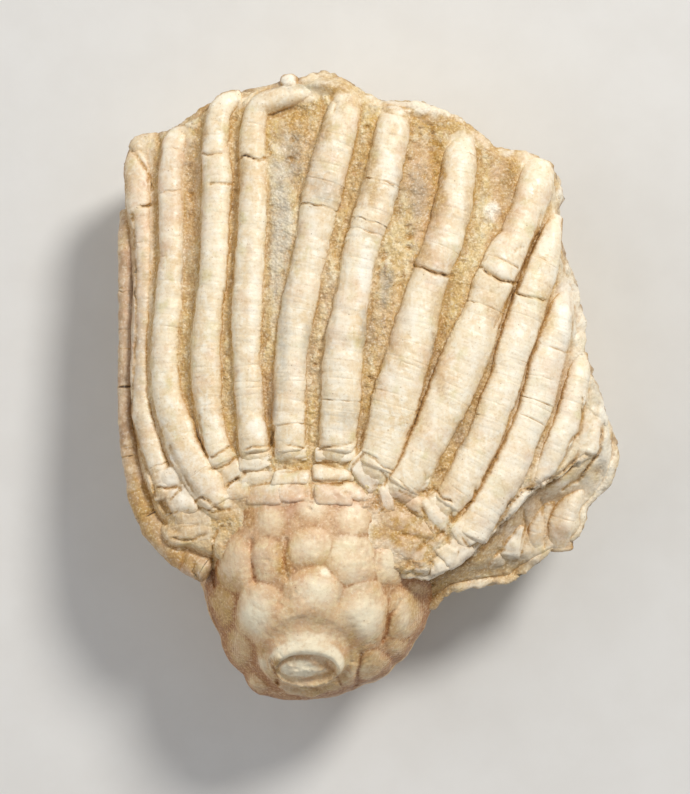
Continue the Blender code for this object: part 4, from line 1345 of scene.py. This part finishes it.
CUP_SOILS, CUP_GLINT = (linear(150, 92, 46), linear(188, 134, 78)), linear(255, 244, 214)
# The edge arms' tones: their own pinkish tan, darkened as painted shade of the side facing away from the light.
EDGE_TONES_SHADED = (linear(166, 132, 94), linear(206, 178, 140), linear(230, 210, 176))
FLOOR_TONES = (linear(222, 221, 218), linear(216, 214, 210))


def stone_material(
    name, warmth=0.0, matrix=0.0, soil_and_shade=1.0, speckle_and_glint=1.0, mottle=0.3,
    soils=(OCHRE_DEEP, OCHRE), tones=ARM_TONES, glint=WHITE,
):
    """Stone whose marks say where it is matrix, stained, soiled or pale; its hollows also get painted shade, and its
    crests and pale spots painted highlight.
    """
    n = Nodes(name)
    soil_deep, soil_light = soils
    deep, plain, light = tones
    broad, middling, fine = n.noise(3.2, 4, 0.6), n.noise(0.9, 4, 0.6, 0.4), n.noise(0.24, 3, 0.6)
    streak = n.noise(0.5, 3, 0.55, 0.2, (1.0, 0.16, 1.0))
    colour = n.over(deep, plain, broad, 0.34, 0.64)
    colour = n.over(colour, light, middling, 0.42, 0.72)
    colour = n.over(colour, light, streak, 0.52, 0.72, 0.55)
    colour = n.over(colour, deep, streak, 0.46, 0.28, 0.55)
    colour = n.over(colour, OLIVE, n.noise(1.7, 3, 0.5), 0.52, 0.74, 0.45)
    pinkness = n.sum("ADD", n.span(n.noise(2.4, 3, 0.5), 0.5, 0.75, 0.0, 0.4), n.sum("MULTIPLY", n.mark("pink"), 0.55))
    colour = n.mix(n.sum("ADD", pinkness, warmth, True), colour, PINKISH)
    colour = n.over(colour, light, n.noise(0.55, 4, 0.7, 0.6), 0.52, 0.68, mottle)
    colour = n.over(colour, deep, n.noise(0.75, 4, 0.7, 0.6), 0.46, 0.32, mottle)
    # The matrix is duller and grainier than the fossil.
    if matrix:
        tint = n.grains(0.36, "Color")
        along = (1.0, 0.38, 1.0)
        earth = n.over(MATRIX, MATRIX_PALE, n.noise(0.8, 4, 0.6, 0.5, along), 0.40, 0.62)
        earth = n.over(earth, OCHRE_LIGHT, n.noise(1.6, 3, 0.6, 0.0, along), 0.50, 0.64, 0.7)
        earth = n.over(earth, MATRIX_DEEP, n.noise(1.0, 4, 0.65, 0.8, along), 0.46, 0.34, 0.7)
        # Patches of light and dark grains; the light grains are partly painted sparkle.
        loose = n.span(n.noise(1.3, 3, 0.6), 0.42, 0.58, 0.25, 1.0)
        for tone, low, high in ((MATRIX_LIGHT, 0.5, 0.9), (MATRIX_DARK, 0.45, 0.1)):
            earth = n.mix(n.sum("MULTIPLY", loose, n.span(tint, low, high, 0.0, 0.6)), earth, tone)
        earth = n.over(earth, GREY, n.noise(2.2, 3, 0.6), 0.55, 0.7, 0.5)
        earth = n.mix(n.sum("MULTIPLY", n.mark("pink"), 0.8), earth, TAN)
        colour = n.mix(n.sum("MULTIPLY", n.mark("matrix"), matrix), colour, earth)
    colour = n.mix(n.share("grey", middling, 0.25, 0.6, 0.35, 1.0), colour, GREY)
    # Pale places and painted highlights, in the glint colour.
    colour = n.mix(n.share("white", middling, 0.2, 0.55, 0.5, 1.0), colour, glint)
    rusty = n.over(RUST_DEEP, RUST, fine, 0.35, 0.65)
    colour = n.mix(n.share("rust", middling, 0.3, 0.6, 0.25, 0.9), colour, rusty)
    # Places below their surroundings get ochre and, deeper in, brown: real soil in the crevices, and painted shade that
    # darkens each hollow by its depth.
    low = n.sum("ADD", n.mark("hollow"), n.sum("MULTIPLY", n.sum("SUBTRACT", middling, 0.5), 0.9))
    soil = n.over(soil_deep, soil_light, fine, 0.35, 0.65)
    colour = n.over(colour, soil, low, 0.1, 0.8, 0.7 * soil_and_shade)
    colour = n.over(colour, BROWN, low, 0.8, 1.7, 0.6 * soil_and_shade)
    suture = n.share("line", middling, 0.25, 0.7, 0.35, 1.1)
    colour = n.over(colour, soil, suture, 0.1, 1.0, 0.7)
    colour = n.over(colour, DARK, suture, 0.9, 1.9, 0.9)
    # Crests, which stand above their surroundings, get a painted highlight in the glint colour.
    colour = n.over(colour, glint, low, -0.35, -1.1, 0.55)
    # Small dark specks, and pale specks that are partly painted glints.
    speck = n.sum("MULTIPLY", n.span(n.grains(0.55), 0.16, 0.06), n.span(n.noise(1.4), 0.5, 0.62))
    colour = n.mix(n.sum("MULTIPLY", speck, 0.5), colour, BROWN)
    colour = n.over(colour, WHITE, fine, 0.52, 0.72, 0.40 * speckle_and_glint)
    colour = n.over(colour, soil_deep, fine, 0.47, 0.25, 0.30 * speckle_and_glint)
    n.put(n.shader.inputs["Base Color"], colour)
    n.put(n.shader.inputs["Roughness"], n.span(middling, 0.3, 0.7, 0.58, 0.34))
    n.shader.inputs["Specular IOR Level"].default_value = 0.42
    bumps = n.bump(n.noise(0.13, 3, 0.6), 0.35, 0.05)
    bumps = n.bump(n.noise(0.45, 3, 0.6), 0.45, 0.10, bumps)
    if matrix:
        loose = n.sum("MULTIPLY", n.mark("matrix"), n.sum("MULTIPLY", n.grains(0.26), -1.0))
        bumps = n.bump(loose, 0.7, 0.13, bumps)
    n.put(n.shader.inputs["Normal"], bumps)
    return n.material


MARKS = ("hollow", "line", "matrix", "rust", "grey", "white", "pink")


def make_piece(name, shape, material):
    """A shape as a mesh object that rides on the body and replaces the CAD stone."""
    mesh = bpy.data.meshes.new(name)
    mesh.from_pydata((shape.points * MM).tolist(), [], shape.faces)
    mesh.polygons.foreach_set("use_smooth", np.ones(len(mesh.polygons), bool))
    for mark in MARKS:
        values = shape.marks.get(mark, np.zeros(len(shape.points)))
        attribute = mesh.attributes.new(mark, "FLOAT", "POINT")
        attribute.data.foreach_set("value", values.astype(np.float32))
    mesh.materials.append(material)
    mesh.update()
    work = bmesh.new()
    work.from_mesh(mesh)
    if work.calc_volume(signed=True) < 0:
        bmesh.ops.reverse_faces(work, faces=work.faces)
        work.to_mesh(mesh)
    work.free()
    piece = piece_object(name, mesh)
    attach(piece, BODY)
    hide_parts(NODE)
    return piece


# ---- the scene ----

FLOOR_HALF = 2.0
# Lamps: name, place, size, power, colour.
LAMPS = (
    ("key", (0.26, 0.34, 0.46), 0.16, 3.0, (1.0, 0.97, 0.92)),
    ("fill", (-0.45, 0.10, 0.45), 0.5, 0.9, (1.0, 0.98, 0.96)),
)
LIT_PLACE = (0.0, 0.0, 0.01)
SKY_COLOUR, SKY_STRENGTH = (0.93, 0.95, 1.0, 1.0), 0.35


def make_floor():
    mesh = bpy.data.meshes.new("floor")
    half = FLOOR_HALF
    mesh.from_pydata([(-half, -half, 0), (half, -half, 0), (half, half, 0), (-half, half, 0)], [], [(0, 1, 2, 3)])
    n = Nodes("pale_floor")
    n.put(n.shader.inputs["Base Color"], n.over(*FLOOR_TONES, n.noise(6.0, 4, 0.6), 0.3, 0.7, 0.5))
    n.shader.inputs["Roughness"].default_value = 0.85
    mesh.materials.append(n.material)
    floor = piece_object("floor", mesh)


def aim(obj, place, target):
    obj.location = Vector(place)
    obj.rotation_euler = (Vector(target) - Vector(place)).to_track_quat("-Z", "Y").to_euler()


def make_lamp(name, place, size, power, colour):
    light = bpy.data.lights.new(name, "AREA")
    light.shape = "DISK"
    light.size = size
    light.energy = power
    light.color = colour
    aim(piece_object(name, light), place, LIT_PLACE)


def make_light():
    for lamp in LAMPS:
        make_lamp(*lamp)
    world = bpy.data.worlds.new("studio")
    bpy.context.scene.world = world
    world.use_nodes = True
    sky = world.node_tree.nodes["Background"]
    sky.inputs["Color"].default_value = SKY_COLOUR
    sky.inputs["Strength"].default_value = SKY_STRENGTH


def make_camera():
    lens = bpy.data.cameras.new("camera")
    lens.lens = LENS
    lens.sensor_width = SENSOR
    lens.clip_start = 0.01
    camera = piece_object("camera", lens)
    camera.location = Vector(EYE) * MM
    bpy.context.scene.camera = camera


ARM_SEED, BLOCK_SEED, LEDGE_BLOCK_SEED = 31, 100, 200


def crust_outline():
    """The slab's outline, moved outward on its left."""
    wider = [(x * LEFT_WIDER if x < LEFT_SIDE else x, y) for x, y in SLAB_OUTLINE]
    return tuple(
        (x + LOW_LEFT_PUSH[0], y + LOW_LEFT_PUSH[1]) if x < LOW_LEFT[0] and y < LOW_LEFT[1] else (x, y)
        for x, y in wider
    )


def make_shapes():
    """Every piece's shape by its name. The crusts close round the arms and plates made before them."""
    shapes = {
        name: make_arm(name, *arm, ARM_SEED + number) for number, (name, arm) in enumerate(ARMS.items())
    }
    shapes["brachial_plates"] = join([make_block(*b, stone_height, BLOCK_SEED + i) for i, b in enumerate(BLOCKS)])
    crown_lines = [line for name, line in arm_lines.items() if name[4].isdigit() or name == "arm_edge_top"]
    crust = make_crust(crust_outline(), crust_base, crown_lines, list(block_places), CRUST_FLOOR, False)
    block_places.clear()
    shapes["ledge_plates"] = join(
        [make_block(*b, ledge_height, LEDGE_BLOCK_SEED + i) for i, b in enumerate(LEDGE_BLOCKS)]
    )
    ledge_lines = [line for name, line in arm_lines.items() if name.startswith("ledge")]
    ledge_crust = make_crust(LEDGE_OUTLINE, ledge_height, ledge_lines, block_places, LEDGE_FLOOR, True)
    shapes.update(cup=make_cup(), matrix_body=make_matrix(), matrix_face=crust, ledge_face=ledge_crust)
    for name, shape in shapes.items():
        shape.edge_on = name.startswith("arm_edge")
    return shapes


def make_stones(shapes):
    """The material of each piece that isn't of the arms' stone, and the arms' stone."""
    arm_stone = stone_material("arm_stone", matrix=0.6, soil_and_shade=1.25)
    cup_stone = stone_material(
        "cup_stone", warmth=0.08, soil_and_shade=1.25, speckle_and_glint=0.7, mottle=0.6,
        soils=CUP_SOILS, tones=CUP_TONES, glint=CUP_GLINT,
    )
    # The edge arms' stone is darker by painted shade, as they face away from the light.
    shaded_edge_stone = stone_material("shaded_edge_stone", matrix=0.5, tones=EDGE_TONES_SHADED, glint=EDGE_TONES_SHADED[-1])
    crust_stone = stone_material("crust_stone", matrix=0.95, soil_and_shade=0.75)
    body_stone = stone_material("body_stone", matrix=0.55, soil_and_shade=0.7)
    stones = {"cup": cup_stone, "matrix_face": crust_stone, "ledge_face": crust_stone, "matrix_body": body_stone}
    stones.update({name: shaded_edge_stone for name, shape in shapes.items() if shape.edge_on})
    return stones, arm_stone


def main():
    shapes = make_shapes()
    add_hollows(shapes.values())
    carve(shapes.values())
    add_hollows(shapes.values())
    add_stains(shapes.values())
    stones, arm_stone = make_stones(shapes)
    for name, shape in shapes.items():
        make_piece(name, shape, stones.get(name, arm_stone))
    make_floor()
    make_light()
    make_camera()
    bpy.context.scene.view_settings.view_transform = "Standard"


main()
